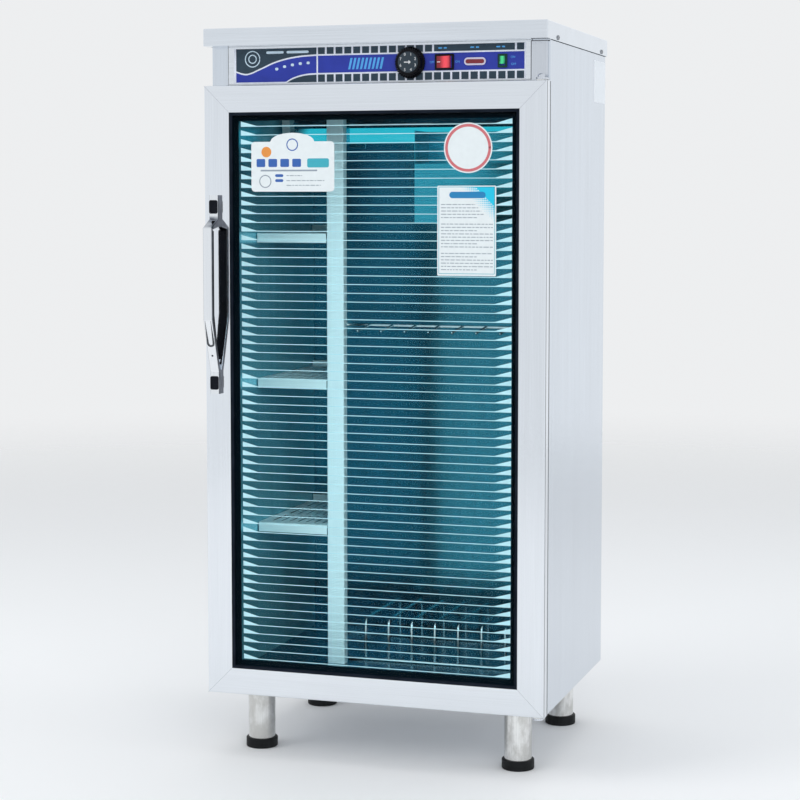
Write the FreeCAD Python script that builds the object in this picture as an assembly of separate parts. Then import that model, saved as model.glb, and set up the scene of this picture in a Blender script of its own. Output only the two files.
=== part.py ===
"""Knife sterilizer cabinet: a stainless cabinet on four legs with one hinged glass door.

Millimetres. +X is the viewer's right, +Y goes back into the cabinet, +Z is up.
The origin is on the floor, in the middle of the cabinet's outer box.
"""
import FreeCAD, Part
import math
import os
from FreeCAD import Vector as V

# Driving dimensions of the cabinet
DOOR_WIDTH = 570.0
DOOR_HEIGHT = 996.0
DOOR_THICKNESS = 26.0
DOOR_SEAL_GAP = 4.0            # between the door and the body's face
BODY_WIDTH = 566.0
LID_WIDTH = 572.0
LID_HEIGHT = 28.0
RECESS_HEIGHT = 64.0           # control strip between the door and the lid
LEG_HEIGHT = 106.0             # floor to the underside of the door
DEPTH = 436.0                  # door's front to the back panel
SHEET = 1.0                    # stainless sheet
BEND = 2.0                     # outer radius of a folded edge
HANDLE_REACH = 37.0            # handle's front, ahead of the door
GLAND_REACH = 15.0             # cable gland, behind the back panel

# Inside
LINER_HALF = 243.0             # liner's inner walls, either side of the middle
FLOOR_Z = 140.0
CEILING_Z = 1060.0
LINER_DEPTH = 396.0            # liner's back wall, behind the door's front
FACE_FLANGE = 28.0             # side panel's folded front face
RACK_FRONT = 120.0             # fronts of the shelves and racks, behind the door's front
DIVIDER_X = -103.0
POST_WIDTH = 30.0
SHELF_TOPS = {"shelf_lower": 374.0, "shelf_middle": 618.5, "shelf_upper": 863.0}
SHELF_LIP = 16.0
WIRE = 5.0                     # rack wire diameter
WIRE_PITCH = 40.7              # one cutting board between two wires
WIRE_FIRST_X = -63.4
WIRE_COUNT = 8

# Door
RAIL_WIDTH = 43.0
GLASS = 5.0
GLASS_SETBACK = 5.0            # glass face behind the door's front
GLASS_IN_GASKET = 8.0          # glass beyond the frame's inner edge
GASKET_LIP = 5.0               # gasket seen inside the frame
HINGE_INSET = 11.0             # hinge axis from the door's right edge
HINGE_BEHIND = 9.0             # hinge axis behind the door's front
PIN_R = 4.0
RUNNING = 0.05                 # radial clearance of a turning fit
SEAL_WIDTH = 14.0
SEAL_INSET = 14.0              # seal's outer edge from the door's edge

# Controls, all on one line
CONTROL_Z = 1134.5
TIMER_X = 56.5
KNOB_R = 25.0
KNOB_FACE_R = 20.8
KNOB_DEPTH = 14.0
POWER_X, POWER_SIZE = 112.6, (31.0, 25.0)
PILOT_X, PILOT_SIZE = 162.5, (35.0, 12.0)
LAMP_SWITCH_X, LAMP_SWITCH_SIZE = 207.0, (15.0, 21.0)
ROCKER_TILT = 10.0             # a rocker leans this far to each side

# Legs
LEG_R = 22.5
LEG_WALL = 1.2
LEG_X = 222.8
LEG_FRONT = 83.0               # front legs' centres behind the door's front
LEG_SPACING = 297.0
CAP_R = 26.5
CAP_HEIGHT = 16.0

# Places that follow from them
FRONT = HANDLE_REACH - (HANDLE_REACH + DEPTH + GLAND_REACH) / 2
BACK = FRONT + DEPTH
FACE = FRONT + DOOR_THICKNESS + DOOR_SEAL_GAP
DOOR_Z0 = LEG_HEIGHT
DOOR_Z1 = DOOR_Z0 + DOOR_HEIGHT
DOOR_X = DOOR_WIDTH / 2
BODY_X = BODY_WIDTH / 2
BODY_Z0 = DOOR_Z0 - 1.5
LID_Z0 = DOOR_Z1 + RECESS_HEIGHT
LID_Z1 = LID_Z0 + LID_HEIGHT
WINDOW_X = DOOR_X - RAIL_WIDTH
WINDOW_Z0 = DOOR_Z0 + RAIL_WIDTH
WINDOW_Z1 = DOOR_Z1 - RAIL_WIDTH
HINGE_X = DOOR_X - HINGE_INSET
HINGE_Y = FRONT + HINGE_BEHIND
LINER_BACK = FRONT + LINER_DEPTH
RACK_Y = FRONT + RACK_FRONT
DIVIDER_SHEET = (DIVIDER_X - SHEET / 2, DIVIDER_X + SHEET / 2)

parts = {}


def box(x, y, z):
    """A block between two planes in each direction."""
    return Part.makeBox(x[1] - x[0], y[1] - y[0], z[1] - z[0], V(x[0], y[0], z[0]))


def rod(start, end, radius):
    """A round bar from one point to another."""
    start, end = V(*start), V(*end)
    return Part.makeCylinder(radius, (end - start).Length, start, end - start)


def joined(shapes):
    """Solids welded or moulded into one."""
    shapes = list(shapes)
    return shapes[0].fuse(shapes[1:]).removeSplitter() if len(shapes) > 1 else shapes[0]


def cut(shape, tools):
    return shape.cut(list(tools))


def group(shapes):
    """Separate solids that share a node."""
    return Part.makeCompound([solid for shape in shapes for solid in shape.Solids])


def keep(name, shape):
    parts[name] = shape


def placed(u, v, plane, w):
    """A point of a flat outline: (u, v) lies in the plane named by its two axes, w is the third."""
    return {"xy": V(u, v, w), "xz": V(u, w, v), "yz": V(w, u, v)}[plane]


def outline_prism(points, plane, w0, w1):
    """A flat outline with straight edges, carried from w0 to w1."""
    wire = Part.makePolygon([placed(u, v, plane, w0) for u, v in points + points[:1]])
    return Part.Face(wire).extrude(placed(0, 0, plane, w1) - placed(0, 0, plane, w0))


def offset_path(path, distance):
    """The same path moved sideways to its left, corners kept sharp."""
    lefts = [V(a.y - b.y, b.x - a.x, 0).normalize() for a, b in zip(path, path[1:])]
    moved = []
    for i, point in enumerate(path):
        before, after = lefts[max(i - 1, 0)], lefts[min(i, len(lefts) - 1)]
        moved.append(point + (before + after) * (distance / (1 + before.dot(after))))
    return moved


def bent_line(path, radii, plane, w):
    """Straight edges along a path, with an arc of the given radius at every inner point."""
    edges, here = [], path[0]
    for i, radius in enumerate(radii, 1):
        before = (path[i] - path[i - 1]).normalize()
        after = (path[i + 1] - path[i]).normalize()
        half = before.getAngle(after) / 2
        enter = path[i] - before * radius * math.tan(half)
        leave = path[i] + after * radius * math.tan(half)
        middle = path[i] + (after - before).normalize() * radius * (1 / math.cos(half) - 1)
        arc = [placed(point.x, point.y, plane, w) for point in (enter, middle, leave)]
        edges.append(Part.LineSegment(placed(here.x, here.y, plane, w), arc[0]).toShape())
        edges.append(Part.Arc(*arc).toShape())
        here = leave
    last = path[-1]
    edges.append(Part.LineSegment(placed(here.x, here.y, plane, w), placed(last.x, last.y, plane, w)).toShape())
    return edges


def folded(path, side, plane, w0, w1):
    """Sheet folded along a path of straight runs, carried from w0 to w1.

    The path is one face of the sheet; the metal lies to its left when side is +1, to its
    right when it is -1. The outer face of every fold has the radius BEND.
    """
    near = [V(u, v, 0) for u, v in path]
    far = offset_path(near, side * SHEET)
    near_radii, far_radii = [], []
    for a, b, c in zip(near, near[1:], near[2:]):
        towards_metal = (b - a).cross(c - b).z * side > 0
        near_radii.append(BEND if towards_metal else BEND - SHEET)
        far_radii.append(BEND - SHEET if towards_metal else BEND)
    edges = bent_line(near, near_radii, plane, w0) + bent_line(far, far_radii, plane, w0)
    for one, other in ((near[0], far[0]), (near[-1], far[-1])):
        ends = placed(one.x, one.y, plane, w0), placed(other.x, other.y, plane, w0)
        edges.append(Part.LineSegment(*ends).toShape())
    section = Part.Face(Part.Wire(Part.__sortEdges__(edges)))
    return section.extrude(placed(0, 0, plane, w1) - placed(0, 0, plane, w0))


def rounded_block(x, y, z, radius, direction):
    """A block whose four edges along one direction are rounded."""
    block = box(x, y, z)
    along = [
        edge for edge in block.Edges
        if abs(getattr(edge.tangentAt(edge.FirstParameter), direction)) > 0.9
    ]
    return block.makeFillet(radius, along)


def mirrored(shape):
    """The same shape on the other side of the cabinet's middle plane."""
    return shape.mirror(V(0, 0, 0), V(1, 0, 0))


# Casing: side panels, base pan, header, back panel and lid

TOP_UNDER_LID = LID_Z1 - SHEET
REAR_FLANGE = 12.0
BASE_UPSTAND = 25.0
side_path = [
    (BODY_X - FACE_FLANGE, FACE),
    (BODY_X, FACE),
    (BODY_X, BACK - SHEET),
    (BODY_X - REAR_FLANGE, BACK - SHEET),
]
side_right = folded(side_path, 1, "xy", BODY_Z0, TOP_UNDER_LID)
keep("side_panel_right", side_right)
keep("side_panel_left", mirrored(side_right))

FACE_EDGE = BODY_X - FACE_FLANGE
sill_path = [
    (FACE, FLOOR_Z - SHEET), (FACE, BODY_Z0), (BACK - SHEET, BODY_Z0), (BACK - SHEET, BODY_Z0 + BASE_UPSTAND),
]
base_middle = folded(sill_path, 1, "yz", -FACE_EDGE, FACE_EDGE)
base_sheet = box(
    (-BODY_X + SHEET, BODY_X - SHEET), (FACE + BEND, BACK - SHEET - BEND), (BODY_Z0, BODY_Z0 + SHEET))
keep("base_pan", joined([base_middle, base_sheet]))

header_path = [
    (FACE + 20, CEILING_Z + SHEET),
    (FACE, CEILING_Z + SHEET),
    (FACE, DOOR_Z1 + 2),
    (FACE + 12, DOOR_Z1 + 2),
]
keep("front_header", folded(header_path, -1, "yz", -FACE_EDGE, FACE_EDGE))

LOUVRE = (60.0, 5.0)
LOUVRE_ROWS = 5
LOUVRE_PITCH = 14.0
LOUVRE_X = (-150.0, -60.0, 60.0)
LOUVRE_Z = 1085.0
GLAND_X, GLAND_Z = 190.0, 1112.0
CABLE_R = 4.2
GLAND_NECK_R = 8.0
back_sheet = box((-BODY_X + SHEET, BODY_X - SHEET), (BACK - SHEET, BACK), (BODY_Z0, TOP_UNDER_LID))
louvre_slots = [
    rounded_block(
        (x - LOUVRE[0] / 2, x + LOUVRE[0] / 2), (BACK - 5, BACK + 5),
        (LOUVRE_Z + row * LOUVRE_PITCH, LOUVRE_Z + row * LOUVRE_PITCH + LOUVRE[1]), 2.4, "y")
    for x in LOUVRE_X for row in range(LOUVRE_ROWS)
]
gland_hole = rod((GLAND_X, BACK - 5, GLAND_Z), (GLAND_X, BACK + 5, GLAND_Z), GLAND_NECK_R)
keep("back_panel", cut(back_sheet, louvre_slots + [gland_hole]))

LID_X = LID_WIDTH / 2
LID_BACK = BACK + 1.0
lid_outer = box((-LID_X, LID_X), (FRONT, LID_BACK), (LID_Z0, LID_Z1))
lid_round = [
    edge for edge in lid_outer.Edges
    if edge.CenterOfMass.z > LID_Z1 - 0.1 or abs(edge.CenterOfMass.z - (LID_Z0 + LID_Z1) / 2) < 0.1
]
lid_outer = lid_outer.makeFillet(BEND, lid_round)
lid_hollow = box((-LID_X + SHEET, LID_X - SHEET), (FRONT + SHEET, LID_BACK - SHEET), (LID_Z0 - 1, LID_Z1 - SHEET))
lid_soffit = box((-LID_X + SHEET, LID_X - SHEET), (FRONT + SHEET, FACE - 0.5), (LID_Z0, LID_Z0 + SHEET))
keep("top_lid", joined([cut(lid_outer, [lid_hollow]), lid_soffit]))

# Liner: the bright inner walls

LINER_FLANGE = FACE_EDGE - LINER_HALF - 0.2
wall_path = [(LINER_HALF + LINER_FLANGE, FACE), (LINER_HALF, FACE), (LINER_HALF, LINER_BACK)]
wall_right = folded(wall_path, -1, "xy", FLOOR_Z, CEILING_Z)
keep("liner_right", wall_right)
keep("liner_left", mirrored(wall_right))
liner_span = (-LINER_HALF - SHEET, LINER_HALF + SHEET)
keep("liner_back", box(liner_span, (LINER_BACK, LINER_BACK + SHEET), (FLOOR_Z - SHEET, CEILING_Z + SHEET)))
floor_path = [(FACE + SHEET, FLOOR_Z - 14), (FACE + SHEET, FLOOR_Z), (LINER_BACK, FLOOR_Z)]
keep("liner_floor", folded(floor_path, -1, "yz", *liner_span))

FAN_X, FAN_Y = 60.0, FRONT + 300.0
FAN_SIZE = 80.0
AIR_SLOT = (70.0, 5.0)
AIR_SLOT_PITCH = 12.0
AIR_SLOTS = 6
ceiling_sheet = box(liner_span, (FACE + SHEET, LINER_BACK), (CEILING_Z, CEILING_Z + SHEET))
air_slots = [
    rounded_block(
        (FAN_X - AIR_SLOT[0] / 2, FAN_X + AIR_SLOT[0] / 2),
        (FAN_Y + (row - (AIR_SLOTS - 1) / 2) * AIR_SLOT_PITCH - AIR_SLOT[1] / 2,
         FAN_Y + (row - (AIR_SLOTS - 1) / 2) * AIR_SLOT_PITCH + AIR_SLOT[1] / 2),
        (CEILING_Z - 2, CEILING_Z + 3), 2.4, "z")
    for row in range(AIR_SLOTS)
]
keep("liner_ceiling", cut(ceiling_sheet, air_slots))

# Divider between the shelves and the board bay

POST_X = (DIVIDER_X - POST_WIDTH / 2, DIVIDER_X + POST_WIDTH / 2)
POST_RETURN = 15.0
post_path = [
    (POST_X[0], RACK_Y + POST_RETURN), (POST_X[0], RACK_Y), (POST_X[1], RACK_Y), (POST_X[1], RACK_Y + POST_RETURN),
]
keep("divider_post", folded(post_path, 1, "xy", FLOOR_Z, CEILING_Z))

LAMP_Y = FRONT + 235.0
LAMP_Z = 1027.0
TUBE_R = 13.0
LAMP_NOTCH = (LAMP_Y - 42, LAMP_Y + 42)
divider_sheet = box(DIVIDER_SHEET, (RACK_Y + SHEET, LINER_BACK), (FLOOR_Z, CEILING_Z))
notch = box((DIVIDER_X - 5, DIVIDER_X + 5), LAMP_NOTCH, (LAMP_Z - TUBE_R - 8, CEILING_Z + 5))
keep("divider_panel", cut(divider_sheet, [notch]))

# Shelves on the left, each on two angle rails

SHELF_X = (-LINER_HALF + 1.5, DIVIDER_SHEET[0] - 0.5)
SHELF_Y = (RACK_Y, FRONT + 386.0)
POST_CLEAR = 1.0
DRAIN = (5.0, 70.0)
DRAIN_PITCH = 15.0
DRAIN_COLUMNS = 7
DRAIN_ROWS = 3


def shelf(top):
    """A folded tray: front lip turned down, back edge turned up, drain slots, a corner let round the post."""
    tray = folded(
        [(SHELF_Y[0], top - SHELF_LIP), (SHELF_Y[0], top), (SHELF_Y[1], top), (SHELF_Y[1], top + 10)],
        -1, "yz", *SHELF_X)
    corner = box(
        (POST_X[0] - POST_CLEAR, SHELF_X[1] + 1), (SHELF_Y[0] - 1, RACK_Y + POST_RETURN + POST_CLEAR),
        (top - SHELF_LIP - 1, top + 1))
    middle_x = (SHELF_X[0] + POST_X[0]) / 2
    slots = []
    for column in range(DRAIN_COLUMNS):
        x = middle_x + (column - (DRAIN_COLUMNS - 1) / 2) * DRAIN_PITCH
        for row in range(DRAIN_ROWS):
            y = SHELF_Y[0] + 22 + row * (DRAIN[1] + 12)
            slots.append(rounded_block(
                (x - DRAIN[0] / 2, x + DRAIN[0] / 2), (y, y + DRAIN[1]), (top - 5, top + 5), 2.4, "z"))
    return cut(tray, [corner] + slots)


for name, top in SHELF_TOPS.items():
    keep(name, shelf(top))

RAIL_LEG = 12.0
RAIL_Y = (RACK_Y + POST_RETURN + 6, SHELF_Y[1] - 10)
rails = []
for top in SHELF_TOPS.values():
    under = top - SHEET
    on_wall = [
        (-LINER_HALF, under - RAIL_LEG), (-LINER_HALF + SHEET, under - RAIL_LEG),
        (-LINER_HALF + SHEET, under - SHEET), (-LINER_HALF + RAIL_LEG, under - SHEET),
        (-LINER_HALF + RAIL_LEG, under), (-LINER_HALF, under),
    ]
    on_divider = [(DIVIDER_SHEET[0] - LINER_HALF - u, z) for u, z in on_wall]
    rails.append(outline_prism(on_wall, "xz", *RAIL_Y))
    rails.append(outline_prism(on_divider, "xz", *RAIL_Y))
keep("shelf_rails", group(rails))

# Board rack on the floor and the guide bar above it

WIRE_R = WIRE / 2
WIRE_X = [WIRE_FIRST_X + i * WIRE_PITCH for i in range(WIRE_COUNT)]
BAY_X = (DIVIDER_SHEET[1], LINER_HALF)
LOOP_Y = (FRONT + 160.0, FRONT + 350.0)
LOOP_TOP = 214.0
LOOP_BEND = 12.0


def wire_loop(x):
    """One bent wire standing on the two cross bars: up, back and down again."""
    y0, y1 = LOOP_Y
    foot = FLOOR_Z + WIRE
    top = LOOP_TOP - WIRE_R
    quarter = LOOP_BEND * (1 - math.sqrt(0.5))
    edges = [
        Part.LineSegment(V(x, y0, foot), V(x, y0, top - LOOP_BEND)),
        Part.Arc(V(x, y0, top - LOOP_BEND), V(x, y0 + quarter, top - quarter), V(x, y0 + LOOP_BEND, top)),
        Part.LineSegment(V(x, y0 + LOOP_BEND, top), V(x, y1 - LOOP_BEND, top)),
        Part.Arc(V(x, y1 - LOOP_BEND, top), V(x, y1 - quarter, top - quarter), V(x, y1, top - LOOP_BEND)),
        Part.LineSegment(V(x, y1, top - LOOP_BEND), V(x, y1, foot)),
    ]
    spine = Part.Wire([edge.toShape() for edge in edges])
    section = Part.Wire([Part.makeCircle(WIRE_R, V(x, y0, foot), V(0, 0, 1))])
    return spine.makePipeShell([section], True, True)


RACK_BAR_X = (BAY_X[0] + 8, BAY_X[1] - 6)
rack_bars = [
    rod((RACK_BAR_X[0], y, FLOOR_Z + WIRE_R), (RACK_BAR_X[1], y, FLOOR_Z + WIRE_R), WIRE_R) for y in LOOP_Y
]
keep("board_rack", group(rack_bars + [wire_loop(x) for x in WIRE_X]))

GUIDE_Y = FRONT + 183.0
GUIDE_Z = 708.0
FINGER_LENGTH = 63.0
FINGER_DROP = 6.0
END_PLATE = (30.0, 24.0, 2.0)
guide_bar = rod((BAY_X[0] + END_PLATE[2], GUIDE_Y, GUIDE_Z), (BAY_X[1] - END_PLATE[2], GUIDE_Y, GUIDE_Z), WIRE_R)
end_plates = [
    box(x, (GUIDE_Y - END_PLATE[0] / 2, GUIDE_Y + END_PLATE[0] / 2),
        (GUIDE_Z - END_PLATE[1] / 2, GUIDE_Z + END_PLATE[1] / 2))
    for x in ((BAY_X[0], BAY_X[0] + END_PLATE[2]), (BAY_X[1] - END_PLATE[2], BAY_X[1]))
]
fingers = []
for x in WIRE_X:
    tip = (x, GUIDE_Y - FINGER_LENGTH, GUIDE_Z - FINGER_DROP)
    fingers.append(rod((x, GUIDE_Y, GUIDE_Z), tip, WIRE_R))
    fingers.append(Part.makeSphere(WIRE_R, V(*tip)))
keep("board_guide", joined([guide_bar] + end_plates + fingers))

# Knife rack: a box with a slotted plate, screwed to the right wall

RACK_X = (35.0, LINER_HALF)
RACK_BOX_Y = (RACK_Y, RACK_Y + 78)
RACK_Z = (881.0, 1031.0)
RACK_FRONT_TOP = 977.0
SLOT_PLATE_Z = 962.0
SLOT = (8.0, 54.0)
SLOT_PITCH = 34.0
SLOT_COUNT = 5
rack_front = box(RACK_X, (RACK_BOX_Y[0], RACK_BOX_Y[0] + SHEET), (RACK_Z[0], RACK_FRONT_TOP))
rack_back = box(RACK_X, (RACK_BOX_Y[1] - SHEET, RACK_BOX_Y[1]), RACK_Z)
rack_cheeks = [
    box(x, RACK_BOX_Y, RACK_Z) for x in ((RACK_X[0], RACK_X[0] + SHEET), (RACK_X[1] - SHEET, RACK_X[1]))
]
slot_plate = box(
    (RACK_X[0] + SHEET, RACK_X[1] - SHEET), (RACK_BOX_Y[0] + SHEET, RACK_BOX_Y[1] - SHEET),
    (SLOT_PLATE_Z, SLOT_PLATE_Z + SHEET))
slot_x = [(RACK_X[0] + RACK_X[1]) / 2 + (i - (SLOT_COUNT - 1) / 2) * SLOT_PITCH for i in range(SLOT_COUNT)]
slot_y = (RACK_BOX_Y[0] + RACK_BOX_Y[1]) / 2
knife_slots = [
    rounded_block(
        (x - SLOT[0] / 2, x + SLOT[0] / 2), (slot_y - SLOT[1] / 2, slot_y + SLOT[1] / 2),
        (SLOT_PLATE_Z - 5, SLOT_PLATE_Z + 5), 3.9, "z")
    for x in slot_x
]
keep("knife_rack", joined([rack_front, rack_back] + rack_cheeks))
keep("knife_slot_plate", cut(slot_plate, knife_slots))

# Ultraviolet lamp under the ceiling

TUBE_HALF = 212.0
CAP_LENGTH = 10.0
LAMP_PIN_R = 1.2
PIN_SPREAD = 12.7
HOLDER = (14.0, 22.0, 40.0)
keep("uv_tube", rod((-TUBE_HALF, LAMP_Y, LAMP_Z), (TUBE_HALF, LAMP_Y, LAMP_Z), TUBE_R))
caps, holders = [], []
for side in (-1, 1):
    inner, outer = side * TUBE_HALF, side * (TUBE_HALF + CAP_LENGTH)
    tip = side * (TUBE_HALF + CAP_LENGTH + 7)
    cap = rod((inner, LAMP_Y, LAMP_Z), (outer, LAMP_Y, LAMP_Z), TUBE_R)
    pins = [
        rod((outer - side, LAMP_Y + way * PIN_SPREAD / 2, LAMP_Z), (tip, LAMP_Y + way * PIN_SPREAD / 2, LAMP_Z),
            LAMP_PIN_R)
        for way in (-1, 1)
    ]
    caps.append(joined([cap] + pins))
    holder_x = sorted((outer + side * 0.2, outer + side * (0.2 + HOLDER[0])))
    holder = rounded_block(
        holder_x, (LAMP_Y - HOLDER[1] / 2, LAMP_Y + HOLDER[1] / 2),
        (CEILING_Z - HOLDER[2] - 6, CEILING_Z), 4, "x")
    sockets = [
        rod((outer, LAMP_Y + way * PIN_SPREAD / 2, LAMP_Z), (tip + side, LAMP_Y + way * PIN_SPREAD / 2, LAMP_Z),
            LAMP_PIN_R + 0.2)
        for way in (-1, 1)
    ]
    holders.append(cut(holder, sockets))
keep("uv_tube_caps", group(caps))
keep("lampholders", group(holders))

REFLECTOR_HALF = 34.0
reflector_path = [
    (LAMP_Y - REFLECTOR_HALF, CEILING_Z - 14), (LAMP_Y - REFLECTOR_HALF / 2, CEILING_Z),
    (LAMP_Y + REFLECTOR_HALF / 2, CEILING_Z), (LAMP_Y + REFLECTOR_HALF, CEILING_Z - 14),
]
keep("lamp_reflector", folded(reflector_path, -1, "yz", -TUBE_HALF + 4, TUBE_HALF - 4))

# Control strip

PANEL_GAP = 0.8                # open joint between the panel and each side panel
PANEL_X = (-FACE_EDGE + PANEL_GAP, FACE_EDGE - PANEL_GAP)
PANEL_Z = (DOOR_Z1 + 3.2, LID_Z0 - 0.2)
OVERLAY_X = (-244.0, 244.0)
OVERLAY_HALF = 28.0
OVERLAY = 0.4


def control_cutouts(margin):
    """The holes behind the timer, the two switches and the lamp; margin shrinks them from the bezels' size."""
    holes = [rod((TIMER_X, FACE - 5, CONTROL_Z), (TIMER_X, FACE + 5, CONTROL_Z), 5.2)]
    for x, (width, height) in (
            (POWER_X, POWER_SIZE), (PILOT_X, PILOT_SIZE), (LAMP_SWITCH_X, LAMP_SWITCH_SIZE)):
        holes.append(box(
            (x - width / 2 + margin, x + width / 2 - margin), (FACE - 5, FACE + 5),
            (CONTROL_Z - height / 2 + margin, CONTROL_Z + height / 2 - margin)))
    return holes


CUTOUT_MARGIN = 1.6
panel_blank = box(PANEL_X, (FACE, FACE + SHEET), PANEL_Z)
keep("control_panel", cut(panel_blank, control_cutouts(CUTOUT_MARGIN)))
overlay_blank = box(OVERLAY_X, (FACE - OVERLAY, FACE), (CONTROL_Z - OVERLAY_HALF, CONTROL_Z + OVERLAY_HALF))
keep("panel_overlay", cut(overlay_blank, control_cutouts(CUTOUT_MARGIN)))

PANEL_FACE = FACE - OVERLAY
SHAFT_R = 3.0
TIMER_BODY = (46.0, 32.0)
timer_case = rounded_block(
    (TIMER_X - TIMER_BODY[0] / 2, TIMER_X + TIMER_BODY[0] / 2), (FACE + SHEET, FACE + SHEET + TIMER_BODY[1]),
    (CONTROL_Z - TIMER_BODY[0] / 2, CONTROL_Z + TIMER_BODY[0] / 2), 5, "y")
timer_neck = rod((TIMER_X, PANEL_FACE - 0.8, CONTROL_Z), (TIMER_X, FACE + SHEET + 1, CONTROL_Z), 5.0)
timer_bore = rod((TIMER_X, FACE - 10, CONTROL_Z), (TIMER_X, FACE + 22, CONTROL_Z), SHAFT_R + RUNNING)
keep("timer_body", cut(joined([timer_case, timer_neck]), [timer_bore]))

KNOB_BACK = PANEL_FACE - 1.2
KNOB_FRONT = KNOB_BACK - KNOB_DEPTH
FLUTES = 36
knob_turn = Part.makePolygon([
    V(0, KNOB_BACK, 0), V(KNOB_R, KNOB_BACK, 0), V(KNOB_R, KNOB_BACK - 2.5, 0), V(KNOB_FACE_R + 2, KNOB_BACK - 4, 0),
    V(KNOB_FACE_R + 0.6, KNOB_FRONT + 1.2, 0), V(KNOB_FACE_R - 0.8, KNOB_FRONT, 0), V(0, KNOB_FRONT, 0),
    V(0, KNOB_BACK, 0),
])
knob_shape = Part.Face(knob_turn).revolve(V(0, 0, 0), V(0, 1, 0), 360)
knob_shape.translate(V(TIMER_X, 0, CONTROL_Z))
flutes = []
for i in range(FLUTES):
    angle = 2 * math.pi * i / FLUTES
    x = TIMER_X + (KNOB_FACE_R + 2.2) * math.cos(angle)
    z = CONTROL_Z + (KNOB_FACE_R + 2.2) * math.sin(angle)
    flutes.append(rod((x, KNOB_FRONT - 1, z), (x, KNOB_BACK - 4.2, z), 1.1))
knob_shaft = rod((TIMER_X, KNOB_BACK - 6, CONTROL_Z), (TIMER_X, FACE + 18, CONTROL_Z), SHAFT_R)
keep("timer_knob", joined([cut(knob_shape, flutes), knob_shaft]))


ROCKER_PIN_R = 1.2
BEZEL = 2.0                    # a bezel stands this far ahead of the strip
WELL = 3.0                     # from the bezel's edge to the rocker's well
WELL_DEPTH = 9.0


def rocker_switch(name, rocker_name, x, size, along, depth):
    """A snap-in switch: bezel and body in one, and a rocker on two stub pins.

    along names the direction between the rocker's two ends. At rest the end on the left, or
    on top, is pressed in by ROCKER_TILT.
    """
    width, height = size
    inner_half = (width / 2 - CUTOUT_MARGIN - 0.2, height / 2 - CUTOUT_MARGIN - 0.2)
    well_half = (width / 2 - WELL, height / 2 - WELL)
    bezel = rounded_block(
        (x - width / 2, x + width / 2), (PANEL_FACE - BEZEL, PANEL_FACE),
        (CONTROL_Z - height / 2, CONTROL_Z + height / 2), 1.2, "y")
    body = box(
        (x - inner_half[0], x + inner_half[0]), (PANEL_FACE, PANEL_FACE + depth),
        (CONTROL_Z - inner_half[1], CONTROL_Z + inner_half[1]))
    well = box(
        (x - well_half[0], x + well_half[0]), (PANEL_FACE - 5, PANEL_FACE + WELL_DEPTH),
        (CONTROL_Z - well_half[1], CONTROL_Z + well_half[1]))
    pivot_y = PANEL_FACE + 2.0
    pin_half = (well_half[1] if along == "x" else well_half[0]) + 1.0

    def pins(extra_r, extra_length):
        reach = pin_half + extra_length
        if along == "x":
            ends = (x, pivot_y, CONTROL_Z - reach), (x, pivot_y, CONTROL_Z + reach)
        else:
            ends = (x - reach, pivot_y, CONTROL_Z), (x + reach, pivot_y, CONTROL_Z)
        return rod(*ends, ROCKER_PIN_R + extra_r)

    keep(name, cut(joined([bezel, body]), [well, pins(RUNNING, 0.2)]))
    half = (well_half[0] if along == "x" else well_half[1]) - 1.4
    ridge_y, end_y, root_y = PANEL_FACE - 2.8, PANEL_FACE - 5.0, PANEL_FACE + 4.0
    section = [(-half, end_y), (0, ridge_y), (half, end_y), (half - 1.5, root_y), (-half + 1.5, root_y)]
    if along == "x":
        span = (CONTROL_Z - well_half[1] + 0.4, CONTROL_Z + well_half[1] - 0.4)
        rocker = outline_prism([(x + u, y) for u, y in section], "xy", *span)
        axis = V(0, 0, 1)
    else:
        span = (x - well_half[0] + 0.4, x + well_half[0] - 0.4)
        rocker = outline_prism([(y, CONTROL_Z + u) for u, y in section], "yz", *span)
        axis = V(1, 0, 0)
    rocker = joined([rocker, pins(0, 0)])
    rocker.rotate(V(x, pivot_y, CONTROL_Z), axis, -ROCKER_TILT)
    keep(rocker_name, rocker)


rocker_switch("power_switch_body", "power_rocker", POWER_X, POWER_SIZE, "x", 24)
rocker_switch("lamp_switch_body", "lamp_rocker", LAMP_SWITCH_X, LAMP_SWITCH_SIZE, "z", 20)

pilot_outer = rounded_block(
    (PILOT_X - PILOT_SIZE[0] / 2, PILOT_X + PILOT_SIZE[0] / 2), (PANEL_FACE - 2, PANEL_FACE),
    (CONTROL_Z - PILOT_SIZE[1] / 2, CONTROL_Z + PILOT_SIZE[1] / 2), PILOT_SIZE[1] / 2 - 0.2, "y")
pilot_body = box(
    (PILOT_X - PILOT_SIZE[0] / 2 + 3, PILOT_X + PILOT_SIZE[0] / 2 - 3), (PANEL_FACE, PANEL_FACE + 20),
    (CONTROL_Z - 3.6, CONTROL_Z + 3.6))
LENS_HALF = (PILOT_SIZE[0] / 2 - 2.6, PILOT_SIZE[1] / 2 - 2.8)


def pilot_lens_block(grow, y0, y1):
    half_width, half_height = LENS_HALF[0] + grow, LENS_HALF[1] + grow
    return rounded_block(
        (PILOT_X - half_width, PILOT_X + half_width), (y0, y1),
        (CONTROL_Z - half_height, CONTROL_Z + half_height), half_height - 0.1, "y")


keep("pilot_bezel", cut(joined([pilot_outer, pilot_body]), [pilot_lens_block(0.1, PANEL_FACE - 5, PANEL_FACE + 6)]))
keep("pilot_lens", pilot_lens_block(0, PANEL_FACE - 2.6, PANEL_FACE + 5.8))

# Machine space above the ceiling

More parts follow.
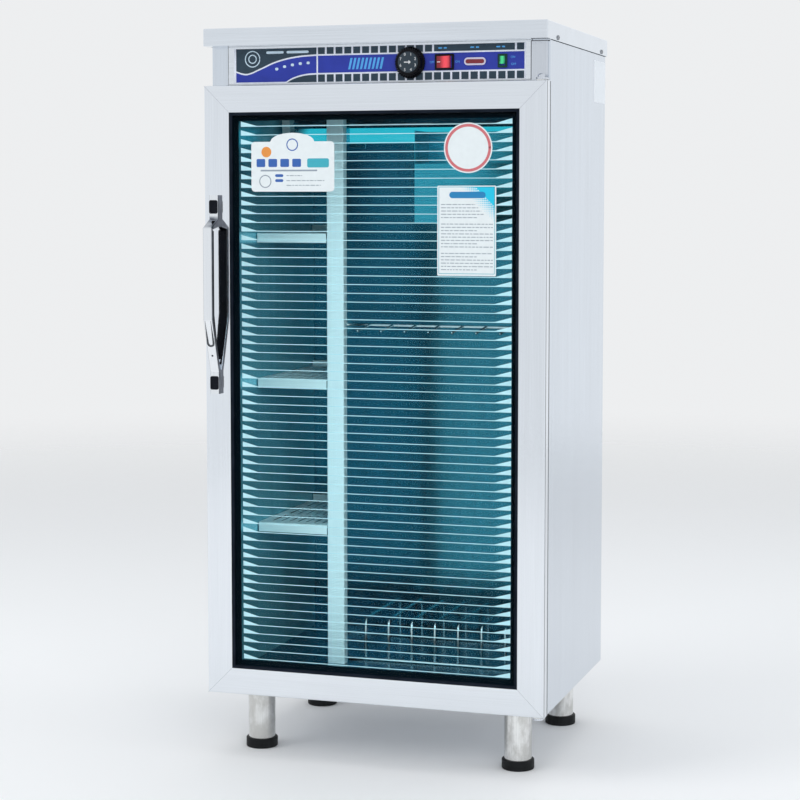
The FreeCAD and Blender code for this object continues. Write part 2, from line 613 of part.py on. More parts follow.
ROOF_Z = CEILING_Z + SHEET
BALLAST = (150.0, 42.0, 30.0)
ballast_x = (-220.0, -220.0 + BALLAST[0])
ballast_y = (FRONT + 270.0, FRONT + 270.0 + BALLAST[1])
ballast_can = rounded_block(ballast_x, ballast_y, (ROOF_Z, ROOF_Z + BALLAST[2]), 3, "x")
ballast_foot = box((ballast_x[0] - 14, ballast_x[1] + 14), ballast_y, (ROOF_Z, ROOF_Z + 1.5))
ballast_screws = [
    ((x, sum(ballast_y) / 2, ROOF_Z + 1.5), (0, 0, 1)) for x in (ballast_x[0] - 8, ballast_x[1] + 8)
]
keep("ballast", joined([ballast_can, ballast_foot]))

STARTER_R = 10.5
starter_at = (-200.0, FRONT + 330.0)
starter_can = rod((*starter_at, ROOF_Z + 12), (*starter_at, ROOF_Z + 47), STARTER_R)
starter_socket = rounded_block(
    (starter_at[0] - 15, starter_at[0] + 15), (starter_at[1] - 15, starter_at[1] + 15),
    (ROOF_Z, ROOF_Z + 12), 4, "z")
keep("lamp_starter", joined([starter_socket, starter_can]))

HEATER_HEIGHT = 18.0
HEATER_FINS = 19
heater_x = (FAN_X - FAN_SIZE / 2, FAN_X + FAN_SIZE / 2)
heater_y = (FAN_Y - FAN_SIZE / 2, FAN_Y + FAN_SIZE / 2)
heater_bars = [
    box(heater_x, y, (ROOF_Z, ROOF_Z + HEATER_HEIGHT))
    for y in ((heater_y[0], heater_y[0] + 8), (FAN_Y - 4, FAN_Y + 4), (heater_y[1] - 8, heater_y[1]))
]
fin_pitch = FAN_SIZE / HEATER_FINS
heater_fins = [
    box((heater_x[0] + i * fin_pitch + 0.5, heater_x[0] + i * fin_pitch + 1.3), heater_y,
        (ROOF_Z + 1, ROOF_Z + HEATER_HEIGHT - 1))
    for i in range(HEATER_FINS)
]
keep("air_heater", joined(heater_bars + heater_fins))

FAN_Z = (ROOF_Z + HEATER_HEIGHT, ROOF_Z + HEATER_HEIGHT + 25)
FAN_BORE = 37.5
HUB_R = 16.0
FAN_AXLE_R = 2.0
fan_frame = rounded_block(heater_x, heater_y, FAN_Z, 4, "z")
fan_throat = rod((FAN_X, FAN_Y, FAN_Z[0] - 1), (FAN_X, FAN_Y, FAN_Z[1] + 1), FAN_BORE)
spider = [rod((FAN_X, FAN_Y, FAN_Z[0]), (FAN_X, FAN_Y, FAN_Z[0] + 5), HUB_R)]
for i in range(4):
    arm = box((FAN_X, FAN_X + FAN_BORE + 1), (FAN_Y - 1.5, FAN_Y + 1.5), (FAN_Z[0], FAN_Z[0] + 3))
    arm.rotate(V(FAN_X, FAN_Y, 0), V(0, 0, 1), 45 + 90 * i)
    spider.append(arm)
axle_hole = rod((FAN_X, FAN_Y, FAN_Z[0] - 1), (FAN_X, FAN_Y, FAN_Z[0] + 6), FAN_AXLE_R + RUNNING)
keep("fan_housing", cut(joined([cut(fan_frame, [fan_throat])] + spider), [axle_hole]))

BLADES = 7
hub = rod((FAN_X, FAN_Y, FAN_Z[0] + 6), (FAN_X, FAN_Y, FAN_Z[1] - 1), HUB_R)
axle = rod((FAN_X, FAN_Y, FAN_Z[0] + 0.5), (FAN_X, FAN_Y, FAN_Z[0] + 8), FAN_AXLE_R)
blades = []
for i in range(BLADES):
    blade = box((FAN_X + HUB_R - 2, FAN_X + FAN_BORE - 1.5), (FAN_Y - 11, FAN_Y + 11), (FAN_Z[0] + 14.2, FAN_Z[0] + 15.8))
    blade.rotate(V(FAN_X, FAN_Y, FAN_Z[0] + 15), V(1, 0, 0), 32)
    blade = blade.common(rod((FAN_X, FAN_Y, FAN_Z[0] + 7), (FAN_X, FAN_Y, FAN_Z[1] - 1.5), FAN_BORE - 1.5))
    blade.rotate(V(FAN_X, FAN_Y, 0), V(0, 0, 1), i * 360 / BLADES)
    blades.append(blade)
keep("fan_impeller", joined([hub, axle] + blades))

REED = (30.0, 8.0, 12.0)
INTERLOCK_X = -180.0
INTERLOCK_Z = DOOR_Z1 - 12.0
keep("reed_switch", rounded_block(
    (INTERLOCK_X - REED[0] / 2, INTERLOCK_X + REED[0] / 2), (FACE + SHEET, FACE + SHEET + REED[1]),
    (INTERLOCK_Z - REED[2] / 2, INTERLOCK_Z + REED[2] / 2), 2, "y"))

gland_hex = outline_prism(
    [(GLAND_X + 12.5 * math.cos(math.radians(60 * i)), GLAND_Z + 12.5 * math.sin(math.radians(60 * i)))
     for i in range(6)], "xz", BACK, BACK + 6)
gland_cone = Part.makeCone(9.5, 6.5, GLAND_REACH - 6, V(GLAND_X, BACK + 6, GLAND_Z), V(0, 1, 0))
gland_neck = rod((GLAND_X, BACK - 12, GLAND_Z), (GLAND_X, BACK, GLAND_Z), GLAND_NECK_R - 0.1)
gland_nut = outline_prism(
    [(GLAND_X + 12.5 * math.cos(math.radians(60 * i + 30)), GLAND_Z + 12.5 * math.sin(math.radians(60 * i + 30)))
     for i in range(6)], "xz", BACK - SHEET - 5, BACK - SHEET)
gland_bore = rod((GLAND_X, BACK - 20, GLAND_Z), (GLAND_X, BACK + 20, GLAND_Z), CABLE_R)
keep("cable_gland", cut(joined([gland_hex, gland_cone, gland_neck, gland_nut]), [gland_bore]))

# Legs

UNDERSIDE = BODY_Z0
LEG_PLATE = (64.0, 3.0)
leg_spots = [(x, y) for x in (-LEG_X, LEG_X) for y in (FRONT + LEG_FRONT, FRONT + LEG_FRONT + LEG_SPACING)]
legs, leg_feet = [], []
for x, y in leg_spots:
    tube = rod((x, y, 4), (x, y, UNDERSIDE - LEG_PLATE[1]), LEG_R)
    tube = cut(tube, [rod((x, y, 0), (x, y, UNDERSIDE - LEG_PLATE[1]), LEG_R - LEG_WALL)])
    plate = rounded_block(
        (x - LEG_PLATE[0] / 2, x + LEG_PLATE[0] / 2), (y - LEG_PLATE[0] / 2, y + LEG_PLATE[0] / 2),
        (UNDERSIDE - LEG_PLATE[1], UNDERSIDE), 6, "z")
    legs.append(joined([tube, plate]))
    foot = rod((x, y, 0), (x, y, CAP_HEIGHT), CAP_R)
    rims = [edge for edge in foot.Edges if edge.Length > 10 and edge.Closed]
    foot = foot.makeFillet(1.8, rims)
    sleeve = cut(rod((x, y, 4), (x, y, CAP_HEIGHT + 1), LEG_R + 0.05),
                 [rod((x, y, 0), (x, y, CAP_HEIGHT + 2), LEG_R - LEG_WALL - 0.05)])
    leg_feet.append(cut(foot, [sleeve]))
keep("leg_tubes", group(legs))
keep("leg_caps", group(leg_feet))

# Hinges: brackets on the cabinet, bushes in the door

ARM = 3.0
ARM_GAP = 1.5
PIN_LENGTH = 18.0
PIN_HEAD = (5.5, 6.0)          # radius and height of the domed head above the upper arm
plate_x = (FACE_EDGE - 1.5, BODY_X - 3.0)
upper_plate = box(plate_x, (FACE - 2, FACE), (DOOR_Z1 + ARM_GAP, LID_Z0 - 2.5))


def hinge_arm(z0, z1):
    """Flat arm from the cabinet's face out over the door's edge, round about the pin."""
    tongue = box((HINGE_X - 8, HINGE_X + 8), (HINGE_Y, FACE), (z0, z1))
    nose = rod((HINGE_X, HINGE_Y, z0), (HINGE_X, HINGE_Y, z1), 8.0)
    return joined([tongue, nose])


upper_arm = hinge_arm(DOOR_Z1 + ARM_GAP, DOOR_Z1 + ARM_GAP + ARM)
upper_pin = rod((HINGE_X, HINGE_Y, DOOR_Z1 - PIN_LENGTH + 2), (HINGE_X, HINGE_Y, DOOR_Z1 + ARM_GAP + 1), PIN_R)
head_z = DOOR_Z1 + ARM_GAP + ARM
pin_head = rod((HINGE_X, HINGE_Y, head_z), (HINGE_X, HINGE_Y, head_z + PIN_HEAD[1]), PIN_HEAD[0])
head_rim = [edge for edge in pin_head.Edges if edge.Closed and edge.CenterOfMass.z > head_z + 1]
pin_head = pin_head.makeFillet(PIN_HEAD[1] - 1.5, head_rim)
keep("hinge_bracket_upper", joined([upper_plate, upper_arm, upper_pin, pin_head]))

LOWER_TOP = DOOR_Z0 - ARM_GAP
lower_arm = hinge_arm(LOWER_TOP - ARM, LOWER_TOP)
lower_plate = box(plate_x, (FACE - 4, FACE + 18), (LOWER_TOP - ARM, LOWER_TOP))
lower_pin = rod((HINGE_X, HINGE_Y, LOWER_TOP - 1), (HINGE_X, HINGE_Y, DOOR_Z0 + PIN_LENGTH - 2), PIN_R)
keep("hinge_bracket_lower", joined([lower_plate, lower_arm, lower_pin]))

BUSH_R = 6.5
FLANGE_R = 9.0 - 0.5
FLANGE = 1.1
bushes = []
for edge_z, inward in ((DOOR_Z1, -1), (DOOR_Z0, 1)):
    sleeve = rod((HINGE_X, HINGE_Y, edge_z), (HINGE_X, HINGE_Y, edge_z + inward * 20), BUSH_R)
    flange = rod((HINGE_X, HINGE_Y, edge_z), (HINGE_X, HINGE_Y, edge_z - inward * FLANGE), FLANGE_R)
    bore = rod((HINGE_X, HINGE_Y, edge_z - inward * 5), (HINGE_X, HINGE_Y, edge_z + inward * 19), PIN_R + RUNNING)
    bushes.append(cut(joined([sleeve, flange]), [bore]))
keep("hinge_bushes", group(bushes))

# Door frame: four mitred sections of folded sheet

DOOR_BACK = FRONT + DOOR_THICKNESS
frame_path = [(-RAIL_WIDTH, FRONT), (0, FRONT), (0, DOOR_BACK)]


def mitre(x0, x1, z0, z1, side):
    """The part of the door that one frame member keeps: a trapezoid with 45 degree ends."""
    w = RAIL_WIDTH
    corners = {
        "left": [(x0, z0), (x0 + w, z0 + w), (x0 + w, z1 - w), (x0, z1)],
        "right": [(x1, z0), (x1, z1), (x1 - w, z1 - w), (x1 - w, z0 + w)],
        "top": [(x0, z1), (x0 + w, z1 - w), (x1 - w, z1 - w), (x1, z1)],
        "bottom": [(x0, z0), (x1, z0), (x1 - w, z0 + w), (x0 + w, z0 + w)],
    }[side]
    return outline_prism(corners, "xz", FRONT - 10, DOOR_BACK + 10)


def door_member(side):
    """One frame member: face RAIL_WIDTH wide, folded back round the door's edge."""
    if side in ("left", "right"):
        bar = folded([(DOOR_X + u, y) for u, y in frame_path], 1, "xy", DOOR_Z0, DOOR_Z1)
        bar = bar if side == "right" else mirrored(bar)
    else:
        if side == "top":
            path = [(y, DOOR_Z1 + u) for u, y in frame_path]
            bar = folded(path, -1, "yz", -DOOR_X, DOOR_X)
        else:
            path = [(y, DOOR_Z0 - u) for u, y in frame_path]
            bar = folded(path, 1, "yz", -DOOR_X, DOOR_X)
    return bar.common(mitre(-DOOR_X, DOOR_X, DOOR_Z0, DOOR_Z1, side))


bush_holes = [
    rod((HINGE_X, HINGE_Y, z - 3), (HINGE_X, HINGE_Y, z + 3), BUSH_R + 0.05) for z in (DOOR_Z0, DOOR_Z1)
]
keep("door_stile_left", door_member("left"))
keep("door_stile_right", door_member("right"))
keep("door_rail_top", cut(door_member("top"), bush_holes[1:]))
keep("door_rail_bottom", cut(door_member("bottom"), bush_holes[:1]))


def ring(outer, inner, y0, y1):
    """Four strips with mitred corners round the window: outer and inner are distances out from its edge."""
    x1, x0 = WINDOW_X + outer, WINDOW_X + inner
    z_low = (WINDOW_Z0 - outer, WINDOW_Z0 - inner)
    z_high = (WINDOW_Z1 + outer, WINDOW_Z1 + inner)
    left = [(-x1, z_low[0]), (-x0, z_low[1]), (-x0, z_high[1]), (-x1, z_high[0])]
    right = [(-x, z) for x, z in left]
    bottom = [(-x1, z_low[0]), (x1, z_low[0]), (x0, z_low[1]), (-x0, z_low[1])]
    top = [(-x1, z_high[0]), (-x0, z_high[1]), (x0, z_high[1]), (x1, z_high[0])]
    return [outline_prism(corners, "xz", y0, y1) for corners in (left, right, bottom, top)]


def stacked(rings):
    """Rings one behind another, joined strip by strip."""
    return group([joined([level[i] for level in rings]) for i in range(4)])


GLASS_Y = FRONT + GLASS_SETBACK
REAR_CLAMP = 2.0
CLAMP_INNER = -2.0
keep("door_glass", box(
    (-WINDOW_X - GLASS_IN_GASKET, WINDOW_X + GLASS_IN_GASKET), (GLASS_Y, GLASS_Y + GLASS),
    (WINDOW_Z0 - GLASS_IN_GASKET, WINDOW_Z1 + GLASS_IN_GASKET)))
GASKET_OUT = GLASS_IN_GASKET + 2.0
keep("glazing_gasket", stacked([
    ring(GASKET_OUT, -GASKET_LIP, FRONT + SHEET, GLASS_Y),
    ring(GASKET_OUT, GLASS_IN_GASKET, GLASS_Y, GLASS_Y + GLASS),
    ring(GASKET_OUT, CLAMP_INNER - 1.5, GLASS_Y + GLASS, GLASS_Y + GLASS + REAR_CLAMP),
]))
INNER_OUT = RAIL_WIDTH - SHEET - 0.1
keep("door_inner_frame", stacked([
    ring(CLAMP_INNER + SHEET, CLAMP_INNER, GLASS_Y + GLASS + REAR_CLAMP, DOOR_BACK - SHEET),
    ring(INNER_OUT, CLAMP_INNER, DOOR_BACK - SHEET, DOOR_BACK),
]))
seal_out = RAIL_WIDTH - SEAL_INSET
SEAL_COMPRESSED = DOOR_SEAL_GAP - 0.3
keep("magnetic_seal", stacked([
    ring(seal_out - 1.5, seal_out - SEAL_WIDTH + 1.5, DOOR_BACK, DOOR_BACK + 1.2),
    ring(seal_out, seal_out - SEAL_WIDTH, DOOR_BACK + 1.2, DOOR_BACK + SEAL_COMPRESSED),
]))
keep("interlock_magnet", rounded_block(
    (INTERLOCK_X - 12, INTERLOCK_X + 12), (DOOR_BACK - SHEET - 9, DOOR_BACK - SHEET),
    (INTERLOCK_Z - 5, INTERLOCK_Z + 5), 2, "y"))

# Bow handle on the left stile

HANDLE_X = (-273.5, -257.5)
HANDLE_TOP, FOOT_TOP, BAR_TOP = 926.0, 888.0, 874.0
BAR_BOTTOM, FOOT_BOTTOM, HANDLE_BOTTOM = 725.0, 639.0, 603.0
FOOT_REACH = 10.0              # the flat feet stand this far ahead of the door
BAR_BACK = HANDLE_REACH - 6.0
GRIP_BACK = BAR_BACK - 6.5
SLOPE_FROM = (2.6, FOOT_BOTTOM + 3)
SLOPE_TO = (BAR_BACK, BAR_BOTTOM + 2)
GRIP_END = 8.0                 # the grip's lower end comes this near to the door


def side_view(pairs):
    """(distance ahead of the door, height) turned into (y, z)."""
    return [(FRONT - reach, z) for reach, z in pairs]


def slope_height(reach):
    """Height of the long slope's inner side at this distance ahead of the door."""
    share = (reach - SLOPE_FROM[0]) / (SLOPE_TO[0] - SLOPE_FROM[0])
    return SLOPE_FROM[1] + share * (SLOPE_TO[1] - SLOPE_FROM[1])


handle_profile = side_view([
    (0, HANDLE_TOP), (FOOT_REACH, HANDLE_TOP), (FOOT_REACH, FOOT_TOP), (HANDLE_REACH, BAR_TOP),
    (HANDLE_REACH, BAR_BOTTOM), (FOOT_REACH, FOOT_BOTTOM), (FOOT_REACH, HANDLE_BOTTOM), (0, HANDLE_BOTTOM),
    (0, SLOPE_FROM[1]), SLOPE_FROM, SLOPE_TO, (BAR_BACK, BAR_TOP - 4), (2, FOOT_TOP - 13), (0, FOOT_TOP - 13),
])
handle_bar = outline_prism(handle_profile, "yz", *HANDLE_X)
handle_middle = sum(HANDLE_X) / 2
front_edges = [
    edge for edge in handle_bar.Edges
    if edge.CenterOfMass.y < FRONT - FOOT_REACH + 1 and abs(edge.CenterOfMass.x - handle_middle) > 7.9
]
keep("door_handle", handle_bar.makeFillet(2.5, front_edges))

grip_profile = side_view([
    (BAR_BACK, BAR_TOP - 4), SLOPE_TO, (GRIP_END, slope_height(GRIP_END)),
    (GRIP_BACK, SLOPE_TO[1] + 6), (GRIP_BACK, BAR_TOP - 7),
])
grip = outline_prism(grip_profile, "yz", HANDLE_X[0] + 0.8, HANDLE_X[1] - 0.8)
grip_edges = [
    edge for edge in grip.Edges
    if edge.CenterOfMass.y > FRONT - GRIP_BACK - 0.1 and abs(edge.CenterOfMass.x - handle_middle) > 7.1
]
keep("handle_grip", grip.makeFillet(2.0, grip_edges))

CAP_HALF = (7.2, 11.0)
handle_caps = []
for z in ((HANDLE_TOP + FOOT_TOP) / 2, (HANDLE_BOTTOM + FOOT_BOTTOM) / 2):
    handle_caps.append(rounded_block(
        (handle_middle - CAP_HALF[0], handle_middle + CAP_HALF[0]), (FRONT - FOOT_REACH - 1.5, FRONT - FOOT_REACH),
        (z - CAP_HALF[1], z + CAP_HALF[1]), 3, "y"))
keep("handle_caps", group(handle_caps))

# Screws in the lid's sides, the back panel, the knife rack and the ballast

SCREW_HEAD_R = 3.8
SCREW_HEAD = 2.2
SCREW_R = 2.0
SCREW_LENGTH = 8.0


def pan_screw(point, outward):
    """A small pan-head screw: head on the sheet, shank through it."""
    at, out = V(*point), V(*outward)
    head = Part.makeCylinder(SCREW_HEAD_R, SCREW_HEAD, at, out)
    rim = [edge for edge in head.Edges if edge.Closed and (edge.CenterOfMass - at).Length > SCREW_HEAD / 2]
    head = head.makeFillet(1.2, rim)
    recess = Part.makeCylinder(1.2, 3, at + out * (SCREW_HEAD - 1), out)
    shank = Part.makeCylinder(SCREW_R, SCREW_LENGTH, at, out * -1)
    return cut(joined([head, shank]), [recess])


screw_spots = ballast_screws + [
    ((RACK_X[1] - SHEET, slot_y, z), (-1, 0, 0)) for z in (RACK_Z[0] + 20, RACK_Z[1] - 20)
]
for side in (-1, 1):
    for y in (FRONT + 68, FRONT + 389):
        screw_spots.append(((side * LID_X, y, LID_Z0 + 5), (side, 0, 0)))
    for z in (BODY_Z0 + 40, (BODY_Z0 + LID_Z1) / 2, LID_Z0 - 40):
        screw_spots.append(((side * (BODY_X - 7), BACK, z), (0, 1, 0)))
keep("sheet_screws", group([pan_screw(point, outward) for point, outward in screw_spots]))

# The screws' shanks pass through the sheets they hold
shank_holes = [
    Part.makeCylinder(SCREW_R, SCREW_LENGTH, V(*point), V(*outward) * -1) for point, outward in screw_spots
]
for name in ("top_lid", "side_panel_left", "side_panel_right", "back_panel", "knife_rack", "liner_right",
             "liner_ceiling", "ballast"):
    parts[name] = cut(parts[name], shank_holes)

os.makedirs("parts", exist_ok=True)
for name, shape in parts.items():
    if not shape.isValid() or not shape.Solids:
        raise ValueError("bad solid: " + name)
    shape.exportStep("parts/" + name + ".step")

whole = Part.makeCompound(list(parts.values())).BoundBox
print(len(parts), "nodes,", sum(len(shape.Solids) for shape in parts.values()), "solids")
print("box", [round(value, 2) for value in (whole.XMin, whole.XMax, whole.YMin, whole.YMax, whole.ZMin, whole.ZMax)])
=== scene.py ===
"""A stainless sterilizer cabinet for knives and cutting boards, with its glass door closed."""
import math
import bmesh
import bpy
import mathutils
import numpy as np
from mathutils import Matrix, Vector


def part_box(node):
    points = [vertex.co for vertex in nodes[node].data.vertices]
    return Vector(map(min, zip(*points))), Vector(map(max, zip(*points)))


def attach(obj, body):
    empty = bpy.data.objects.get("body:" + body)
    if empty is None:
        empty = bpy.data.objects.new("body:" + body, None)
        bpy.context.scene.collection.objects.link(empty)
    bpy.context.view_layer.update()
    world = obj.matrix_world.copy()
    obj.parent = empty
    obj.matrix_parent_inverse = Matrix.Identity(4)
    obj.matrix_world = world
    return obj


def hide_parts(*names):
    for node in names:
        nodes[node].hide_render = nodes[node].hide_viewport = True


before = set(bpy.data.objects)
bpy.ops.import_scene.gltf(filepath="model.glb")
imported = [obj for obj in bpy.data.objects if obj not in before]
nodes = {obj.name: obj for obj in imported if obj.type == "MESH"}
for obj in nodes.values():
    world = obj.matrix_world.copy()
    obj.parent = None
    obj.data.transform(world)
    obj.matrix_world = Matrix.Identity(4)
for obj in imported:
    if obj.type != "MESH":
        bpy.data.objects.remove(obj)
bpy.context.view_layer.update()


# The casing: side panels, back, base, lid and header, folded from 1 mm stainless sheet with a
# fine brushed face and screwed together. In daylight it looks nearly white, with a blue cast.

class Value:
    """A number that varies from place to place; each operator adds one Math node."""

    def __init__(self, maker, socket):
        self.maker, self.socket = maker, socket

    def outlet(self, out):
        """Another output of the same node."""
        return Value(self.maker, self.socket.node.outputs[out])

    def math(self, operation, *terms):
        """A Math node with these terms."""
        return self.maker.node("ShaderNodeMath", {"operation": operation}, dict(enumerate(terms)))

    def __add__(self, other):
        return self.math("ADD", self, other)

    def __radd__(self, other):
        return self.math("ADD", other, self)

    def __sub__(self, other):
        return self.math("SUBTRACT", self, other)

    def __rsub__(self, other):
        return self.math("SUBTRACT", other, self)

    def __mul__(self, other):
        return self.math("MULTIPLY", self, other)

    def __rmul__(self, other):
        return self.math("MULTIPLY", other, self)

    def __truediv__(self, other):
        return self.math("DIVIDE", self, other)

    def __rtruediv__(self, other):
        return self.math("DIVIDE", other, self)

    def __pow__(self, other):
        return self.math("POWER", self, other)

    def __abs__(self):
        return self.math("ABSOLUTE", self)


class Nodes:
    """The nodes of one tree."""

    def __init__(self, tree):
        self.tree = tree

    def node(self, kind, settings=None, sockets=None, out=0):
        """The node of this name, or else a new one of this kind, with its settings and its sockets set."""
        made = self.tree.nodes.get(kind) or self.tree.nodes.new(kind)
        for key, value in (settings or {}).items():
            setattr(made, key, value)
        for key, value in (sockets or {}).items():
            if isinstance(value, Value):
                self.tree.links.new(value.socket, made.inputs[key])
            else:
                made.inputs[key].default_value = value
        return Value(self, made.outputs[out])

    def surface(self, value, end="Material Output"):
        """Sends a shader's value to the output of the tree."""
        self.tree.links.new(value.socket, self.tree.nodes[end].inputs["Surface"])


class Finish(Nodes):
    """One procedural material. Sockets named in constants are set on the shader itself."""

    def __init__(self, name, **constants):
        self.material = bpy.data.materials.new(name)
        self.material.use_nodes = True
        super().__init__(self.material.node_tree)
        self.shader = self.tree.nodes["Principled BSDF"]
        for socket, value in constants.items():
            self.shader.inputs[socket.replace("_", " ")].default_value = value
        self.place = self.node("ShaderNodeTexCoord", out="Object")

    def axes(self):
        """The place on the object along X, Y and Z, in metres."""
        split = self.node("ShaderNodeSeparateXYZ", sockets={0: self.place})
        return [split.outlet(axis) for axis in range(3)]

    def noise(self, scale, detail=3.0, rough=0.5):
        """Noise with one scale, per metre, or with its own along each axis."""
        sockets = {"Vector": self.place, "Scale": np.broadcast_to(scale, 3)}
        stretched = self.node("ShaderNodeMapping", sockets=sockets)
        sockets = {"Vector": stretched, "Scale": 1.0, "Detail": detail, "Roughness": rough}
        return self.node("ShaderNodeTexNoise", sockets=sockets)

    def blend(self, share, low, high):
        """Colour low where share is 0 and high where it is 1."""
        low, high = [c if isinstance(c, Value) else (*c, 1.0) for c in (low, high)]
        sockets = {0: share, 6: low, 7: high}
        return self.node("ShaderNodeMix", {"data_type": "RGBA"}, sockets, out=2)

    def step(self, value, start, end, low=0.0, high=1.0):
        """Smooth change from low to high while value goes from start to end."""
        sockets = {0: value, 1: start, 2: end, 3: low, 4: high}
        return self.node("ShaderNodeMapRange", {"interpolation_type": "SMOOTHSTEP"}, sockets)

    def bump(self, height):
        """Relief of a height in metres, laid over the shape."""
        sockets = {"Height": height, "Distance": 1.0, "Strength": 1.0}
        self.link("Normal", self.node("ShaderNodeBump", sockets=sockets))

    def link(self, socket, value):
        """Lets a value drive a socket of the shader."""
        self.tree.links.new(value.socket, self.shader.inputs[socket])

    def driver_of(self, socket):
        """The value that already drives a socket of the shader."""
        return Value(self, self.shader.inputs[socket].links[0].from_socket)


def dress(finish, *pieces):
    """Gives the finish to CAD nodes, by name, or to new pieces."""
    for piece in pieces:
        thing = nodes[piece] if isinstance(piece, str) else piece
        if not thing.material_slots:
            thing.data.materials.append(finish.material)
        for spot in thing.material_slots:
            spot.material = finish.material


def toned(tone, share, lift=0.0):
    """A colour with each channel times share, plus lift, and at most 1."""
    return [min(1.0, channel * share + lift) for channel in tone]


def brushed(name, tone, rough, grain, streak=0.03, cloud=0.03, dent=0.0004, grit=0.00002, **constants):
    """Brushed sheet: fine streaks along the grain axis, faint clouds, and slow waves in the sheet.

    Streaks are noise squeezed to a millimetre across the grain and stretched along it.
    """
    finish = Finish(name, **{"Metallic": 1.0, **constants})
    fine = finish.noise([7.0 if axis == grain else 750.0 for axis in "xyz"], 4.0, 0.6)
    broad = finish.noise([1.6 if axis == grain else 70.0 for axis in "xyz"], 2.0)
    haze = finish.noise((5.0, 5.0, 4.0), 3.0)
    share = finish.step(0.5 * fine + 0.25 * broad + 0.25 * haze, 0.3, 0.7)
    low, high = toned(tone, 1 - streak - cloud), toned(tone, 1 + streak + cloud)
    finish.link("Base Color", finish.blend(share, low, high))
    finish.link("Roughness", rough * (1.0 + (fine - 0.5) * 0.5 + (haze - 0.5) * 0.3))
    wave = finish.noise((3.0, 3.0, 2.2), 1.0)
    finish.bump(wave * dent + fine * (rough * grit))
    return finish


CASING_TONE = (0.76, 0.795, 0.84)
# The side and back panels take a darker, slightly bluer copy of the casing's tone: painted shade on the
# sides.
SIDE_PAINTED_SHADE = (0.68, 0.725, 0.785)
dress(brushed("casing_upright", SIDE_PAINTED_SHADE, 0.16, "z"), "side_panel_left", "side_panel_right", "back_panel")
casing_level = brushed("casing_level", CASING_TONE, 0.14, "x")
dress(casing_level, "top_lid", "front_header", "base_pan", "control_panel")


# The liner: walls, floor and ceiling of duller rolled sheet, with the divider, its post and
# three drained shelves on angle rails, spot-welded in.

def rolled(name, tone, rough, grain, dent=0.0006, **constants):
    """Rolled sheet: as brushed sheet, with broader streaks and clouds and no grit."""
    return brushed(name, tone, rough, grain, 0.05, 0.08, dent, 0.0, **constants)


# The teal of the liner, divider and knife rack is painted light of the germicidal lamp, and its darkness is
# painted shade of the closed cabinet.
LINER_PAINTED_GLOW = (0.040, 0.210, 0.285)
LIT_LINER_PAINTED_GLOW = (0.22, 0.64, 0.76)
DIVIDER_PAINTED_GLOW = (0.15, 0.42, 0.52)
POST_TONE = (0.80, 0.93, 0.96)
KNIFE_RACK_PAINTED_GLOW = (0.05, 0.36, 0.47)
dress(rolled("liner_upright", LINER_PAINTED_GLOW, 0.20, "z"), "liner_right", "liner_back")
dress(rolled("liner_level", LINER_PAINTED_GLOW, 0.24, "x", 0.0004), "liner_floor", "liner_ceiling", "shelf_rails")
# The left wall is a lighter, less metallic copy of the liner: painted light on that wall.
dress(rolled("liner_painted_lit", LIT_LINER_PAINTED_GLOW, 0.24, "z", Metallic=0.6), "liner_left")
dress(rolled("divider_sheet", DIVIDER_PAINTED_GLOW, 0.20, "z"), "divider_panel")
dress(brushed("post_face", POST_TONE, 0.5, "z", 0.02, 0.02, Metallic=0.1), "divider_post")
shelf_sheet = brushed("shelf_sheet", POST_TONE, 0.45, "x", 0.03, 0.03, Metallic=0.1)
dress(shelf_sheet, "shelf_lower", "shelf_middle", "shelf_upper")
knife_rack_sheet = brushed("knife_rack_sheet", KNIFE_RACK_PAINTED_GLOW, 0.28, "x", 0.03, 0.05)
dress(knife_rack_sheet, "knife_rack", "knife_slot_plate")


# The board rack and guide: bright 5 mm wire, bent into loops and fingers and resistance-welded
# to cross bars, so every crossing has a small bead.

def put(name, data):
    """An object in the scene, with its own place and turn at zero."""
    thing = bpy.data.objects.new(name, data)
    bpy.context.scene.collection.objects.link(thing)
    return thing


def build(name, points, faces, body, finish, slot, replaces=()):
    """A mesh piece in metres that rides on a body: doubles merged, faces turned outwards."""
    corners = np.asarray(points, float).reshape(-1, 3)
    mesh = bpy.data.meshes.new(name)
    mesh.from_pydata(corners, [], [list(map(int, face)) for face in faces])
    work = bmesh.new()
    work.from_mesh(mesh)
    bmesh.ops.remove_doubles(work, verts=work.verts, dist=2e-6)
    bmesh.ops.recalc_face_normals(work, faces=work.faces)
    work.to_mesh(mesh)
    work.free()
    mesh.polygons.foreach_set("use_smooth", np.ones(len(mesh.polygons), bool))
    mesh.set_sharp_from_angle(angle=math.radians(35.0))
    thing = put(name, mesh)
    dress(finish, thing)
    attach(thing, body)
    if replaces:
        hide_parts(*replaces)


def grid_faces(rows, columns, start=0):
    """Quads between a grid's rows, whose columns close round, and the faces that cap its ends."""
    r, c = np.meshgrid(np.arange(rows - 1), np.arange(columns), indexing="ij")
    here, below, after = r * columns, (r + 1) * columns, (c + 1) % columns
    quads = np.stack([here + c, here + after, below + after, below + c], -1)
    ends = [np.arange(columns)[::-1], (rows - 1) * columns + np.arange(columns)]
    return [list(face + start) for face in quads.reshape(-1, 4)] + [list(end + start) for end in ends]


def several(shapes):
    """Shapes given as (points, faces), gathered into one list of points and one of faces."""
    points, faces, start = [], [], 0
    for shape_points, shape_faces in shapes:
        flat = np.asarray(shape_points, float).reshape(-1, 3)
        points.append(flat)
        faces += [[corner + start for corner in face] for face in shape_faces]
        start += len(flat)
    return np.concatenate(points), faces


